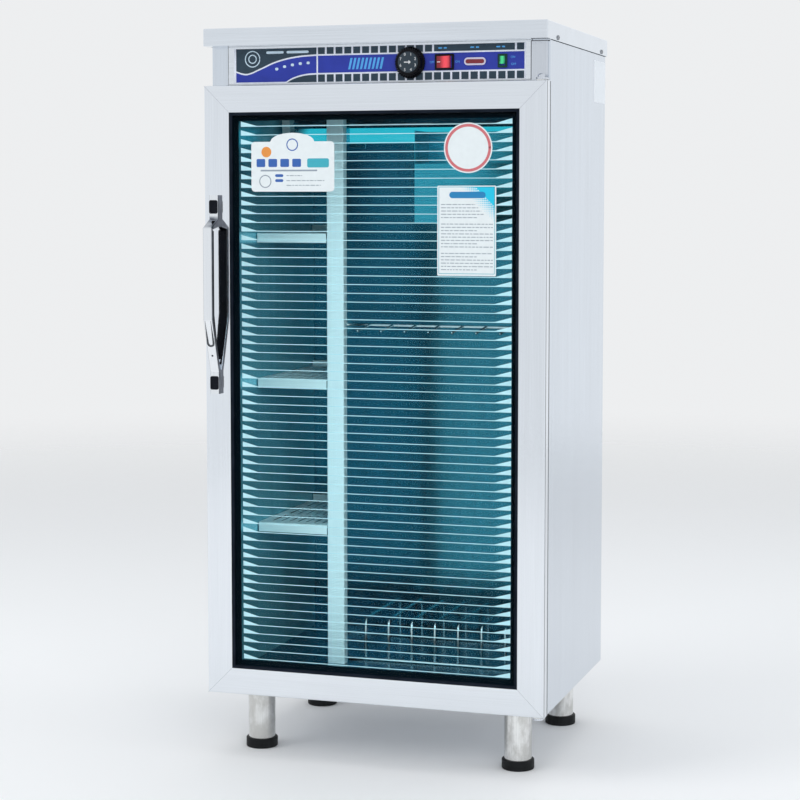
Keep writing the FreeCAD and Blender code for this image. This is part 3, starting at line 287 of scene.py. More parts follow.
def bent_path(corners, radius, arc_points=8):
    """Straight runs through the corners, each corner rounded by an arc that touches both runs."""
    corners = np.asarray(corners, float)
    path = [corners[:1]]
    for before, corner, after in zip(corners, corners[1:], corners[2:]):
        into, out = corner - before, after - corner
        into, out = into / np.linalg.norm(into), out / np.linalg.norm(out)
        turn = math.acos(np.clip(into @ out, -1, 1))
        middle = (out - into) / np.linalg.norm(out - into)
        centre = corner + middle * radius / math.cos(turn / 2)
        angle = np.linspace(-turn / 2, turn / 2, arc_points)[:, None]
        along = (into + out) / np.linalg.norm(into + out)
        path.append(centre + radius * (-np.cos(angle) * middle + np.sin(angle) * along))
    path.append(corners[-1:])
    return np.concatenate(path)


def tube(path, radius, sides=14, side_axis=(1.0, 0.0, 0.0)):
    """A round bar along a path square to side_axis: a circle at each point, of one radius or its own."""
    path = np.asarray(path, float)
    along = np.gradient(path, axis=0)
    along /= np.linalg.norm(along, axis=1, keepdims=True)
    side = np.broadcast_to(np.asarray(side_axis, float), path.shape)
    up = np.cross(along, side)
    turn = np.linspace(0, 2 * np.pi, sides, endpoint=False)
    reach = np.broadcast_to(radius, len(path))[:, None, None]
    ring = np.cos(turn)[None, :, None] * side[:, None] + np.sin(turn)[None, :, None] * up[:, None]
    return path[:, None] + reach * ring, grid_faces(len(path), sides)


def bead(centre, radii, rows=7, sides=10):
    """A weld bead: an ellipsoid, rows of latitude by sides of longitude."""
    lat = np.linspace(-np.pi / 2, np.pi / 2, rows)[:, None]
    lon = np.linspace(0, 2 * np.pi, sides, endpoint=False)[None]
    ball = [np.cos(lat) * np.cos(lon), np.cos(lat) * np.sin(lon), np.sin(lat) + 0 * lon]
    return np.asarray(centre) + np.stack(ball, -1) * np.asarray(radii), grid_faces(rows, sides)


def edges(node):
    """Lowest and highest corner of a CAD node, to a tenth of a millimetre."""
    return [[round(place, 4) for place in corner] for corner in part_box(node)]


WIRE_R = 0.0025
WIRE_X = -0.0634 + 0.0407 * np.arange(8)
RACK_LOW, RACK_HIGH = edges("board_rack")
LOOP_Y = (RACK_LOW[1] + WIRE_R, RACK_HIGH[1] - WIRE_R)
LOOP_Z = (RACK_LOW[2] + 2 * WIRE_R, RACK_HIGH[2] - WIRE_R)
LOOP_BEND = 0.012
LOOP_BEAD = (0.0034, 0.0034, 0.0012)
BAR_TAPER, BAR_TIP = 0.0005, 0.7
wire = brushed("rack_wire", (0.70, 0.76, 0.78), 0.16, "y", 0.03, 0.04, 0.0)
loops = []
for x in WIRE_X:
    foot_front, foot_back = [(x, y, LOOP_Z[0]) for y in LOOP_Y]
    top_front, top_back = [(x, y, LOOP_Z[1]) for y in LOOP_Y]
    loops.append(tube(bent_path([foot_front, top_front, top_back, foot_back], LOOP_BEND), WIRE_R))
    loops += [bead(foot, LOOP_BEAD) for foot in (foot_front, foot_back)]
bar_x = (RACK_LOW[0], RACK_LOW[0] + BAR_TAPER, RACK_HIGH[0] - BAR_TAPER, RACK_HIGH[0])
bar_radii = np.array([BAR_TIP, 1, 1, BAR_TIP]) * WIRE_R
for y in LOOP_Y:
    bar = [(x, y, RACK_LOW[2] + WIRE_R) for x in bar_x]
    loops.append(tube(bar, bar_radii, side_axis=(0, 0, 1)))
build("rack_loops", *several(loops), "cabinet", wire, "rack_wire", ["board_rack"])

PLATE_DEEP, PLATE_HIGH, PLATE_THICK = 0.030, 0.024, 0.002
GUIDE_LOW, GUIDE_HIGH = edges("board_guide")
GUIDE_Y = GUIDE_HIGH[1] - PLATE_DEEP / 2
GUIDE_Z = GUIDE_HIGH[2] - PLATE_HIGH / 2
GUIDE_BAR = (-0.1008, 0.2415)     # its ends are inside the plates
FINGER_OUT = np.array([0.0, 0.061, 0.0625, 0.0640, 0.0650, 0.0655])
FINGER_THIN = np.array([1, 1, 0.95, 0.75, 0.45, 0.05])
FINGER_FALL = 6 / 63
guide = [tube([(x, GUIDE_Y, GUIDE_Z) for x in GUIDE_BAR], WIRE_R, side_axis=(0, 0, 1))]
for x in WIRE_X:
    finger = [0 * FINGER_OUT + x, GUIDE_Y - FINGER_OUT, GUIDE_Z - FINGER_OUT * FINGER_FALL]
    guide.append(tube(np.stack(finger, -1), WIRE_R * FINGER_THIN))
    guide.append(bead((x, GUIDE_Y, GUIDE_Z), (0.0036, 0.0032, 0.0032)))


def turned(plane, u, v, w):
    """Points of a flat shape: u and v lie in the plane named by its two axes, w is the third."""
    u, v, w = np.broadcast_arrays(u, v, w)
    order = {"xz": (u, w, v), "yz": (w, u, v), "xy": (u, v, w)}[plane]
    return np.stack(order, -1)


def rounded(u, v, radius, arc_points=6):
    """Outline of a rectangle whose corners are quarter circles, as two rows of coordinates."""
    radius = max(min(radius, (u[1] - u[0]) / 2, (v[1] - v[0]) / 2) - 1e-7, 1e-6)
    turn = (np.arange(4)[:, None] + np.linspace(0, 1, arc_points)[None]) * np.pi / 2
    middle_u = np.array([u[1] - radius, u[0] + radius, u[0] + radius, u[1] - radius])[:, None]
    middle_v = np.array([v[1] - radius, v[1] - radius, v[0] + radius, v[0] + radius])[:, None]
    return (middle_u + radius * np.cos(turn)).ravel(), (middle_v + radius * np.sin(turn)).ravel()


def slab(plane, u, v, w, radius, edge=0.0, arc_points=6):
    """A plate from w[0] to w[1] with rounded corners; its rims draw in by edge along quarter circles."""
    lift = np.linspace(0, np.pi / 2, 4 if edge else 1)
    inset = np.concatenate([edge * (1 - np.sin(lift)), edge * (1 - np.sin(lift[::-1]))])
    rise = edge * (1 - np.cos(lift))
    depth = np.concatenate([w[0] + rise, w[1] - rise[::-1]])
    rows = [rounded((u[0] + i, u[1] - i), (v[0] + i, v[1] - i), radius - i, arc_points) for i in inset]
    points = [turned(plane, row_u, row_v, level) for (row_u, row_v), level in zip(rows, depth)]
    return np.array(points), grid_faces(len(points), points[0].shape[0])


for x in ((GUIDE_LOW[0], GUIDE_LOW[0] + PLATE_THICK), (GUIDE_HIGH[0] - PLATE_THICK, GUIDE_HIGH[0])):
    across = (GUIDE_Y - PLATE_DEEP / 2, GUIDE_Y + PLATE_DEEP / 2)
    upward = (GUIDE_Z - PLATE_HIGH / 2, GUIDE_Z + PLATE_HIGH / 2)
    guide.append(slab("yz", across, upward, x, 0.004, 0.0004))
build("guide_fingers", *several(guide), "cabinet", wire, "rack_wire", ["board_guide"])


# The germicidal lamp: a clear quartz tube with glowing mercury vapour, dark at its electrodes,
# in two white holders under a folded aluminium reflector.

TUBE_LOW, TUBE_HIGH = edges("uv_tube")
TUBE_HALF = TUBE_HIGH[0]
TUBE_Y, TUBE_Z = [(TUBE_LOW[axis] + TUBE_HIGH[axis]) / 2 for axis in (1, 2)]
TUBE_R = 0.013
END_ROUND, END_NARROW = 0.0048, 0.62
GLOW_FADE = (0.185, 0.208)
tube_glow = Finish("tube_glow", Roughness=0.15, Emission_Strength=0.7)
near_end = tube_glow.step(abs(tube_glow.axes()[0]), *GLOW_FADE)
tube_glow.link("Base Color", tube_glow.blend(near_end, (0.04, 0.24, 0.30), (0.10, 0.14, 0.16)))
tube_glow.link("Emission Color", tube_glow.blend(near_end, (0.03, 0.60, 0.74), (0.01, 0.09, 0.13)))
from_tip = np.array([0.0, 0.0006, 0.0022, END_ROUND])
lamp_x = np.concatenate([-TUBE_HALF + from_tip, TUBE_HALF - from_tip[::-1]])
narrow = np.sqrt(np.clip(1 - (1 - from_tip / END_ROUND) ** 2, END_NARROW ** 2, 1))
lamp_path = np.stack([lamp_x, 0 * lamp_x + TUBE_Y, 0 * lamp_x + TUBE_Z], -1)
lamp_bar = tube(lamp_path, TUBE_R * np.concatenate([narrow, narrow[::-1]]), 40, (0, 0, 1))
build("lamp_tube", *lamp_bar, "cabinet", tube_glow, "lamp_glass", ["uv_tube"])
spun_aluminium = brushed("spun_aluminium", (0.80, 0.82, 0.84), 0.24, "x", 0.03, 0.02, 0.0)
dress(spun_aluminium, "uv_tube_caps", "lamp_reflector")


def moulded(name, tone, rough=0.42, vary=0.06, **constants):
    """Moulded plastic: fine spark-eroded grain in the relief and slow changes of tone."""
    finish = Finish(name, **constants)
    cloud = finish.noise(30.0, 2.0)
    fine = finish.noise(2200.0, 2.0)
    low, high = toned(tone, 1 - vary), toned(tone, 1 + vary, vary * 0.02)
    finish.link("Base Color", finish.blend(finish.step(cloud, 0.3, 0.7), low, high))
    finish.link("Roughness", rough + (fine - 0.5) * 0.14 + (cloud - 0.5) * 0.08)
    finish.bump(fine * 0.00003)
    return finish


dress(moulded("white_plastic", (0.82, 0.83, 0.82)), "lampholders", "reed_switch", "hinge_bushes")


# The machine space over the ceiling: ballast, starter, finned heater and the fan that blows
# warm air down through the ceiling's slots.

dress(moulded("ballast_enamel", (0.78, 0.78, 0.74), 0.35), "ballast")
dress(moulded("starter_can", (0.74, 0.76, 0.77), 0.3, Metallic=0.6), "lamp_starter")
dress(brushed("heater_fins", (0.62, 0.64, 0.66), 0.35, "y", 0.05, 0.04, 0.0), "air_heater")
black_plastic = moulded("black_plastic", (0.005, 0.006, 0.008), 0.38, 0.15, Specular_IOR_Level=0.12)
dress(black_plastic, "fan_housing", "fan_impeller", "timer_body", "power_switch_body")
dress(moulded("magnet_case", (0.05, 0.05, 0.055), 0.5), "interlock_magnet")
dress(moulded("gland_nylon", (0.035, 0.036, 0.038), 0.45), "cable_gland")


# The control strip: a printed film on the steel panel. Slate squares run above and below a blue
# band, and a wave crosses the left end; the pale ground shows between them as ruled lines.

KNOB_LOW, KNOB_HIGH = edges("timer_knob")
KNOB_X, CONTROL_Z = [(KNOB_LOW[axis] + KNOB_HIGH[axis]) / 2 for axis in (0, 2)]
PANEL_Y = edges("panel_overlay")[0][1]
STRIP_LEFT, STRIP_RIGHT = -0.2406, 0.2420
STRIP_Z = (1.1070, 1.1620)
BAND_Z = (1.1213, 1.1487)
RULE = 0.0025
SQUARE, SQUARE_PITCH = 0.0118, 0.01495
INK = 0.00005
WAVE_END = -0.1017
WAVE_TOP = [(-0.2436, 1.1263), (-0.2238, 1.1210), (-0.1991, 1.1289), (-0.1762, 1.1384),
            (-0.1604, 1.1431), (-0.1324, 1.1480), (WAVE_END, 1.1499)]
WAVE_LOW = [(-0.1551, 1.1065), (-0.1437, 1.1128), (-0.1324, 1.1165), (-0.1180, 1.1192), (WAVE_END, 1.1200)]
WAVE_START = WAVE_LOW[0][0]


def printed(name, tone, rough=0.30):
    """Screen ink under a satin film: even colour with faint clouding and an orange-peel relief."""
    finish = Finish(name, Specular_IOR_Level=0.25)
    cloud = finish.noise(45.0, 2.0)
    peel = finish.noise(700.0, 1.0)
    low, high = toned(tone, 0.95), toned(tone, 1.05)
    finish.link("Base Color", finish.blend(finish.step(cloud, 0.3, 0.7), low, high))
    finish.link("Roughness", rough + (peel - 0.5) * 0.06)
    finish.bump(peel * 0.00002)
    return finish


def eased(points, x):
    """A smooth curve: cubic pieces through the points, with the mean slope of each one's neighbours."""
    knots, heights = np.array(points).T
    slope = np.gradient(heights, knots)
    k = np.clip(np.searchsorted(knots, x) - 1, 0, len(knots) - 2)
    width = knots[k + 1] - knots[k]
    t = (x - knots[k]) / width
    start = heights[k] * (1 + 2 * t) * (1 - t) ** 2 + slope[k] * width * t * (1 - t) ** 2
    end = heights[k + 1] * t ** 2 * (3 - 2 * t) + slope[k + 1] * width * t ** 2 * (t - 1)
    return start + end


def ribbon(x, low, high, y):
    """A thin plate facing the front, from y[0] to y[1]: along x it fills the height from low to high."""
    corners = [(low, y[0]), (high, y[0]), (high, y[1]), (low, y[1])]
    points = np.stack([turned("xz", x, z, level) for z, level in corners], 1)
    return points, grid_faces(len(x), 4)


slate_ink = printed("slate_ink", (0.030, 0.056, 0.082))
blue_ink = printed("blue_ink", (0.030, 0.050, 0.38))
cyan_ink = printed("cyan_ink", (0.10, 0.42, 0.86))
dress(printed("film_ground", (0.80, 0.84, 0.94)), "panel_overlay")

ink_y = (PANEL_Y - INK, PANEL_Y)
wave_x = np.linspace(STRIP_LEFT, WAVE_END, 60)
upper_edge = eased(WAVE_TOP, wave_x)
lower_edge = eased(WAVE_LOW, np.clip(wave_x, WAVE_START, WAVE_END))
lower_edge[wave_x < WAVE_START] = STRIP_Z[0]
slate = [ribbon(wave_x, upper_edge + RULE / 2, 0 * wave_x + STRIP_Z[1], ink_y)]
blue = [ribbon(wave_x, np.maximum(lower_edge + RULE / 2, STRIP_Z[0]), upper_edge - RULE / 2, ink_y)]
blue.append(slab("xz", (WAVE_END + RULE, STRIP_RIGHT), BAND_Z, ink_y, 0.0002, arc_points=2))
under_x = np.linspace(WAVE_START, WAVE_END, 30)
under = np.maximum(eased(WAVE_LOW, under_x) - RULE / 2, STRIP_Z[0] + INK)
slate.append(ribbon(under_x, 0 * under_x + STRIP_Z[0], under, ink_y))

PLAIN_FROM, PLAIN_TO = 13, 21     # one plain bar takes these squares' place over the switches
square_x = np.arange(WAVE_END + RULE, STRIP_RIGHT, SQUARE_PITCH)
plain_bar = (square_x[PLAIN_FROM], square_x[PLAIN_TO] + SQUARE)
low_row, top_row = (STRIP_Z[0], BAND_Z[0] - RULE), (BAND_Z[1] + RULE, STRIP_Z[1])
for i, x in enumerate(square_x):
    across = (x, min(x + SQUARE, STRIP_RIGHT))
    for row in [low_row] if PLAIN_FROM <= i <= PLAIN_TO else [low_row, top_row]:
        slate.append(slab("xz", across, row, ink_y, 0.0003, arc_points=2))
slate.append(slab("xz", plain_bar, top_row, ink_y, 0.0003, arc_points=2))
build("strip_slate", *several(slate), "cabinet", slate_ink, "printed_overlay")
build("strip_blue", *several(blue), "cabinet", blue_ink, "printed_overlay")

SILL_X, SILL_Z = (-0.2540, 0.2534), (1.1031, 1.1062)
sill = slab("xz", SILL_X, SILL_Z, (PANEL_Y - 0.0003, PANEL_Y + 0.0004), 0.0012, 0.0003)
build("panel_sealant", *sill, "cabinet", printed("grey_silicone", (0.62, 0.65, 0.69), 0.45), "seal_vinyl")


def lettering(words, height, thick):
    """Flat letters in the x and y plane, centred on the origin, thick along z."""
    curve = bpy.data.curves.new("letters", "FONT")
    curve.body = words
    curve.align_x = "CENTER"
    curve.align_y = "CENTER"
    curve.size = height * 1.38    # the font's size for capitals of this height
    curve.extrude = thick / 2
    curve.resolution_u = 3
    holder = bpy.data.objects.new("letters", curve)
    mesh = bpy.data.meshes.new_from_object(holder)
    points = np.zeros(len(mesh.vertices) * 3)
    mesh.vertices.foreach_get("co", points)
    faces = [list(face.vertices) for face in mesh.polygons]
    bpy.data.objects.remove(holder)
    bpy.data.curves.remove(curve)
    bpy.data.meshes.remove(mesh)
    return points.reshape(-1, 3), faces


def facing(shape, x, z, y):
    """A flat shape stood up to face the front at x and z, with its back on y."""
    points, faces = shape
    depth = points[:, 2] - points[:, 2].min()
    return np.stack([x + points[:, 0], y - depth, z + points[:, 1]], -1), faces


def prism(plane, u, v, w):
    """A flat outline, given by its rows u and v, carried straight from w[0] to w[1]."""
    return np.array([turned(plane, u, v, level) for level in w]), grid_faces(2, len(u))


def hoop(x, z, outer, inner, y, sides=72):
    """A flat ring: the four corners of its section carried round a circle, where its ends meet."""
    turn = np.linspace(0, 2 * np.pi, sides + 1)[:, None]
    radii, levels = np.array([outer, outer, inner, inner]), np.array([y[0], y[1], y[1], y[0]])
    points = turned("xz", x + radii * np.cos(turn), z + radii * np.sin(turn), levels + 0 * turn)
    return points, grid_faces(sides + 1, 4)


MARKS_Y = PANEL_Y - INK
mark_y = (MARKS_Y - INK, MARKS_Y)
CAPTION_X, CAPTION_Z = (0.1095, 0.1620, 0.2040), (1.1553, 1.1576)
SWITCH_WORDS = (("OFF", 0.0922, 0.0), ("ON", 0.1336, 0.0), ("ON", 0.2235, 0.0055), ("OFF", 0.2245, -0.0055))
LETTER_HIGH = 0.0034
SLANT_X = -0.0480 + 0.0066 * np.arange(9)
SLANT_WIDE, SLANT_LEAN = 0.0036, 0.004
SLANT_Z = (CONTROL_Z - 0.0085, CONTROL_Z + 0.0095)
marks = []
for x in CAPTION_X:
    for middle, half in ((x - 0.0042, 0.0032), (x + 0.0042, 0.0026)):
        marks.append(slab("xz", (middle - half, middle + half), CAPTION_Z, mark_y, 0.001))
for words, x, up in SWITCH_WORDS:
    marks.append(facing(lettering(words, LETTER_HIGH, INK), x, CONTROL_Z + up, MARKS_Y))
for x in SLANT_X:
    corner_x = x + np.array([0.0, SLANT_WIDE, SLANT_WIDE + SLANT_LEAN, SLANT_LEAN])
    marks.append(prism("xz", corner_x, np.repeat(SLANT_Z, 2), mark_y))
build("strip_marks", *several(marks), "cabinet", cyan_ink, "printed_overlay")

EMBLEM_X, EMBLEM_Z = -0.212, 1.1455
STAR_X = -0.170 + 0.0135 * np.arange(5)
STAR_DROP = 0.0115                # how far the dots lie under the wave
RINGS = ((0.0133, 0.0117), (0.0073, 0.0057))
emblem = [hoop(EMBLEM_X, EMBLEM_Z, outer, inner, mark_y, 47) for outer, inner in RINGS]
for name_x in ((-0.188, -0.158), (-0.153, -0.115)):
    emblem.append(slab("xz", name_x, (1.1535, 1.1575), mark_y, 0.002))
for x, z in zip(STAR_X, eased(WAVE_TOP, STAR_X) - STAR_DROP):
    emblem.append(slab("xz", (x - 0.0028, x + 0.0028), (z - 0.0022, z + 0.0022), mark_y, 0.0022))
build("strip_emblem", *several(emblem), "cabinet", printed("pale_ink", (0.62, 0.78, 0.90)), "printed_overlay")


# The timer knob: black moulding with a fluted skirt and grip; a slate dial with white numerals
# and a pointer is pressed into its front.

KNOB_BACK = PANEL_Y - 0.0012
KNOB_FRONT = KNOB_BACK - 0.014
SHAFT_END = KNOB_BACK + 0.0186
DISC_Y = KNOB_FRONT + 0.0010
FLUTES, FLUTE_DEEP = 36, 0.0011
knob_rows = np.array([    # radius, depth, and the share of the fluting there
    (0.0001, SHAFT_END, 0), (0.0030, SHAFT_END, 0), (0.0030, KNOB_BACK, 0), (0.0240, KNOB_BACK, 0),
    (0.0248, KNOB_BACK - 0.0003, 0.6), (0.0250, KNOB_BACK - 0.0010, 1),
    (0.0250, KNOB_BACK - 0.0026, 1), (0.0245, KNOB_BACK - 0.0034, 1),
    (0.0230, KNOB_BACK - 0.0042, 1), (0.0222, KNOB_BACK - 0.0052, 1),
    (0.0217, KNOB_BACK - 0.0080, 1), (0.0213, KNOB_FRONT + 0.0016, 1),
    (0.0207, KNOB_FRONT + 0.0006, 0.8), (0.0197, KNOB_FRONT, 0.2), (0.0184, KNOB_FRONT, 0),
    (0.0178, KNOB_FRONT + 0.0003, 0), (0.0172, DISC_Y, 0), (0.0001, DISC_Y, 0),
])


def round_knob(reach, y, turn):
    """Rows carried round the knob's axis: each point lies reach from it, at its turn, at depth y."""
    points = turned("xz", KNOB_X + reach * np.cos(turn), CONTROL_Z + reach * np.sin(turn), y + 0 * reach)
    return points, grid_faces(*points.shape[:2])


knob_turn = np.linspace(0, 2 * np.pi, FLUTES * 8, endpoint=False)
flute = FLUTE_DEEP * (0.5 + 0.5 * np.cos(FLUTES * knob_turn)) ** 2
knob_shape = round_knob(knob_rows[:, :1] - knob_rows[:, 2:] * flute[None], knob_rows[:, 1:2], knob_turn)
knob_black = moulded("knob_black", (0.003, 0.003, 0.005), 0.30, 0.15, Specular_IOR_Level=0.12)
build("knob_moulding", *knob_shape, "timer_knob", knob_black, "knob_plastic", ["timer_knob"])

DIAL_THICK, DIAL_R = 0.00045, 0.0165
DIAL_Y = DISC_Y - DIAL_THICK
disc_rows = np.array([
    (DIAL_R, DISC_Y), (DIAL_R, DISC_Y - 0.0003), (DIAL_R - 0.0004, DIAL_Y), (0.0001, DIAL_Y),
])
disc_turn = np.linspace(0, 2 * np.pi, 96, endpoint=False)
disc_shape = round_knob(disc_rows[:, :1] + 0 * disc_turn, disc_rows[:, 1:], disc_turn)
dial_slate = printed("dial_slate", (0.030, 0.045, 0.060), 0.35)
build("knob_dial", *disc_shape, "timer_knob", dial_slate, "knob_plastic")

FIGURE_HIGH, FIGURE_R = 0.0046, 0.0130
figures = []
for i, angle in enumerate(np.radians(112.5 - 45.0 * np.arange(8))):
    figure_x, figure_z = KNOB_X + FIGURE_R * math.cos(angle), CONTROL_Z + FIGURE_R * math.sin(angle)
    figures.append(facing(lettering(str(i), FIGURE_HIGH, INK), figure_x, figure_z, DIAL_Y))
pointer_u = np.array([-0.0062, 0.0012, 0.0012, 0.0048, 0.0012, 0.0012, -0.0062])
pointer_v = np.array([-0.0007, -0.0007, -0.0032, 0.0, 0.0032, 0.0007, 0.0007])
figures.append(prism("xz", KNOB_X + pointer_u, CONTROL_Z + pointer_v, (DIAL_Y - INK, DIAL_Y)))
dial_white = printed("dial_white", (0.80, 0.82, 0.84))
build("knob_figures", *several(figures), "timer_knob", dial_white, "knob_plastic")


# The switches and the pilot lamp: snap-in mouldings. The rockers are clear plastic lit from
# behind, the pilot lens is ribbed dark red in a pale bezel.

def lit(name, edge, heart, middle, half):
    """Clear coloured plastic lit from behind by the switch's lamp, bright at its middle along x and fading to
    its ends; the bright middle is partly that glow and partly painted highlight of the curved face, and the
    dark ends are painted shade.
    """
    finish = Finish(name, Coat_Weight=0.2, Coat_Roughness=0.08, Emission_Strength=0.40)
    from_middle = abs(finish.axes()[0] - middle) / half
    # The bright middle is partly the switch lamp's glow and partly painted highlight; the dark ends are
    # painted shade.
    glow_and_highlight = finish.step(from_middle, 0.05, 0.95, 1.0, 0.0)
    cloud = finish.noise(160.0, 2.0)
    colour = finish.blend(glow_and_highlight * (0.85 + cloud * 0.3), edge, heart)
    finish.link("Base Color", colour)
    finish.link("Emission Color", colour)
    finish.link("Roughness", 0.25 + (cloud - 0.5) * 0.1)
    return finish


dress(lit("rocker_red_lit", (0.16, 0.004, 0.010), (0.74, 0.050, 0.075), 0.1150, 0.0120), "power_rocker")
dress(lit("rocker_green_lit", (0.004, 0.14, 0.075), (0.045, 0.56, 0.21), 0.2070, 0.0050), "lamp_rocker")
green_black = moulded("switch_green_black", (0.004, 0.045, 0.032), 0.38, 0.15, Specular_IOR_Level=0.25)
dress(green_black, "lamp_switch_body")

# A pale dash is printed on the red rocker's left end, the one pressed in at rest. It lies on the
# dished face, which is ROCKER_OUT from the pin at that end and ROCKER_DIP deeper in the middle.
ROCKER_X, ROCKER_PIN_Y, ROCKER_LEAN = 0.1126, PANEL_Y + 0.0020, math.radians(10.0)
ROCKER_END, ROCKER_OUT, ROCKER_DIP = 0.0111, 0.0070, 0.0022
DASH_HALF = 0.0006
dash_along = np.array([-0.0104, -0.0056, -0.0056, -0.0104])
dash_sink = (dash_along + ROCKER_END) * ROCKER_DIP / ROCKER_END
dash_out = dash_sink - ROCKER_OUT + np.array([1, 1, -2, -2]) * INK
dash_x = ROCKER_X + dash_along * math.cos(ROCKER_LEAN) + dash_out * math.sin(ROCKER_LEAN)
dash_y = ROCKER_PIN_Y - dash_along * math.sin(ROCKER_LEAN) + dash_out * math.cos(ROCKER_LEAN)
dash = prism("xy", dash_x, dash_y, (CONTROL_Z - DASH_HALF, CONTROL_Z + DASH_HALF))
build("rocker_dash", *dash, "power_rocker", printed("dash_white", (0.86, 0.74, 0.76)), "rocker_red")

pilot_red = Finish("pilot_red", Coat_Weight=0.15, Coat_Roughness=0.1, Emission_Strength=0.10)
rib = pilot_red.node("ShaderNodeTexWave", {"wave_type": "BANDS", "bands_direction": "X"},
                     {"Vector": pilot_red.place, "Scale": 160.0, "Distortion": 0.0})
pilot_tone = pilot_red.blend(rib, (0.13, 0.004, 0.010), (0.24, 0.010, 0.020))
pilot_red.link("Base Color", pilot_tone)
pilot_red.link("Emission Color", pilot_tone)
pilot_red.link("Roughness", 0.22 + rib * 0.08)
pilot_red.bump(rib * 0.0002)
dress(pilot_red, "pilot_lens")
dress(moulded("pilot_bezel_pale", (0.70, 0.66, 0.80), 0.3), "pilot_bezel")


# The door's frame: four mitred channels of polished stainless round the pane, with a flat
# clamping frame behind, a magnetic seal, and the interlock's magnet.

DOOR_TONE = (0.80, 0.83, 0.87)
stile_steel = brushed("stile_steel", DOOR_TONE, 0.07, "z", 0.02, 0.02, 0.0002)
rail_steel = brushed("rail_steel", DOOR_TONE, 0.07, "x", 0.02, 0.02, 0.0002)
gasket_rubber = moulded("gasket_rubber", (0.003, 0.007, 0.015), 0.42, 0.2, Specular_IOR_Level=0.10)
dress(stile_steel, "door_stile_left", "door_stile_right")
dress(rail_steel, "door_rail_top", "door_rail_bottom")
dress(brushed("clamp_steel", (0.62, 0.66, 0.69), 0.34, "z"), "door_inner_frame")
dress(moulded("seal_vinyl", (0.07, 0.075, 0.085), 0.5), "magnetic_seal")
dress(gasket_rubber, "glazing_gasket")

# Grey hairlines are the mitred joints.
STILE_LOW, STILE_HIGH = edges("door_stile_right")
WINDOW_X, FRONT, DOOR_FOOT = STILE_LOW
DOOR_X, DOOR_TOP = STILE_HIGH[0], STILE_HIGH[2]
WINDOW_Z = (DOOR_FOOT + DOOR_X - WINDOW_X, DOOR_TOP - DOOR_X + WINDOW_X)
SEAM_HALF, SEAM_PROUD = 0.0002, 0.00004
seams = []
for side in (-1, 1):
    for inner, outer in zip(WINDOW_Z, (DOOR_FOOT, DOOR_TOP)):
        start, end = np.array([side * WINDOW_X, inner]), np.array([side * DOOR_X, outer])
        half = np.array([end[1] - start[1], start[0] - end[0]])
        half *= SEAM_HALF / np.linalg.norm(half)
        u, v = np.array([start + half, end + half, end - half, start - half]).T
        seams.append(prism("xz", u, v, (FRONT - SEAM_PROUD, FRONT + SEAM_PROUD)))
build("mitre_seams", *several(seams), "door", moulded("seam_grey", (0.34, 0.36, 0.40), 0.4), "door_steel")

# Two thin dark strips run round the door's outer side, once near its front and once near its back: painted
# shadow lines of the gap round the door.
DOOR_GAP_Y = ((0.0024, 0.0046), (0.0215, 0.0255))
DOOR_GAP_DEEP, DOOR_GAP_PROUD = 0.0003, 0.00015
DOOR_GAP_IN = (DOOR_X - DOOR_GAP_DEEP, DOOR_TOP - DOOR_GAP_DEEP)
DOOR_GAP_OUT = (DOOR_X + DOOR_GAP_PROUD, DOOR_TOP + DOOR_GAP_PROUD)
across = (-DOOR_X + 0.0005, DOOR_X - 0.0005)
upward = (DOOR_FOOT + 0.0005, DOOR_TOP - 0.0005)
door_gap_strips = []
for start, end in DOOR_GAP_Y:
    depth = (FRONT + start, FRONT + end)
    for x in ((-DOOR_GAP_OUT[0], -DOOR_GAP_IN[0]), (DOOR_GAP_IN[0], DOOR_GAP_OUT[0])):
        door_gap_strips.append(slab("xz", x, upward, depth, 0.0002, arc_points=2))
    for z in ((DOOR_FOOT - DOOR_GAP_PROUD, DOOR_FOOT + DOOR_GAP_DEEP), (DOOR_GAP_IN[1], DOOR_GAP_OUT[1])):
        door_gap_strips.append(slab("xz", across, z, depth, 0.0002, arc_points=2))
door_gap_dark = moulded("door_gap_dark", (0.11, 0.12, 0.135), 0.5)
build("door_gap_shade", *several(door_gap_strips), "door", door_gap_dark, "gasket_rubber")


# The pane: 5 mm tinted glass. On its face is a screen print of ruled lines with a wedge at each
# end, behind it a dark printed border, and over the lines are vinyl labels, all of them plain.

GLASS_LOW, GLASS_HIGH = edges("door_glass")
GLASS_FACE, GLASS_BACK = GLASS_LOW[1], GLASS_HIGH[1]
glass = Finish("tinted_glass", Transmission_Weight=1.0, IOR=1.12)
haze = glass.noise(3.0, 2.0)
glass.link("Base Color", glass.blend(haze, (0.80, 0.945, 0.965), (0.84, 0.955, 0.975)))
glass.link("Roughness", 0.002 + haze * 0.006)
lamp_ray = glass.node("ShaderNodeLightPath", out="Is Shadow Ray")
open_way = glass.node("ShaderNodeBsdfTransparent", sockets={"Color": (0.84, 0.95, 0.97, 1.0)})
pane = glass.node("Principled BSDF")
lets_light_in = glass.node("ShaderNodeMixShader", sockets={0: lamp_ray, 1: pane, 2: open_way})
glass.surface(lets_light_in)
dress(glass, "door_glass")

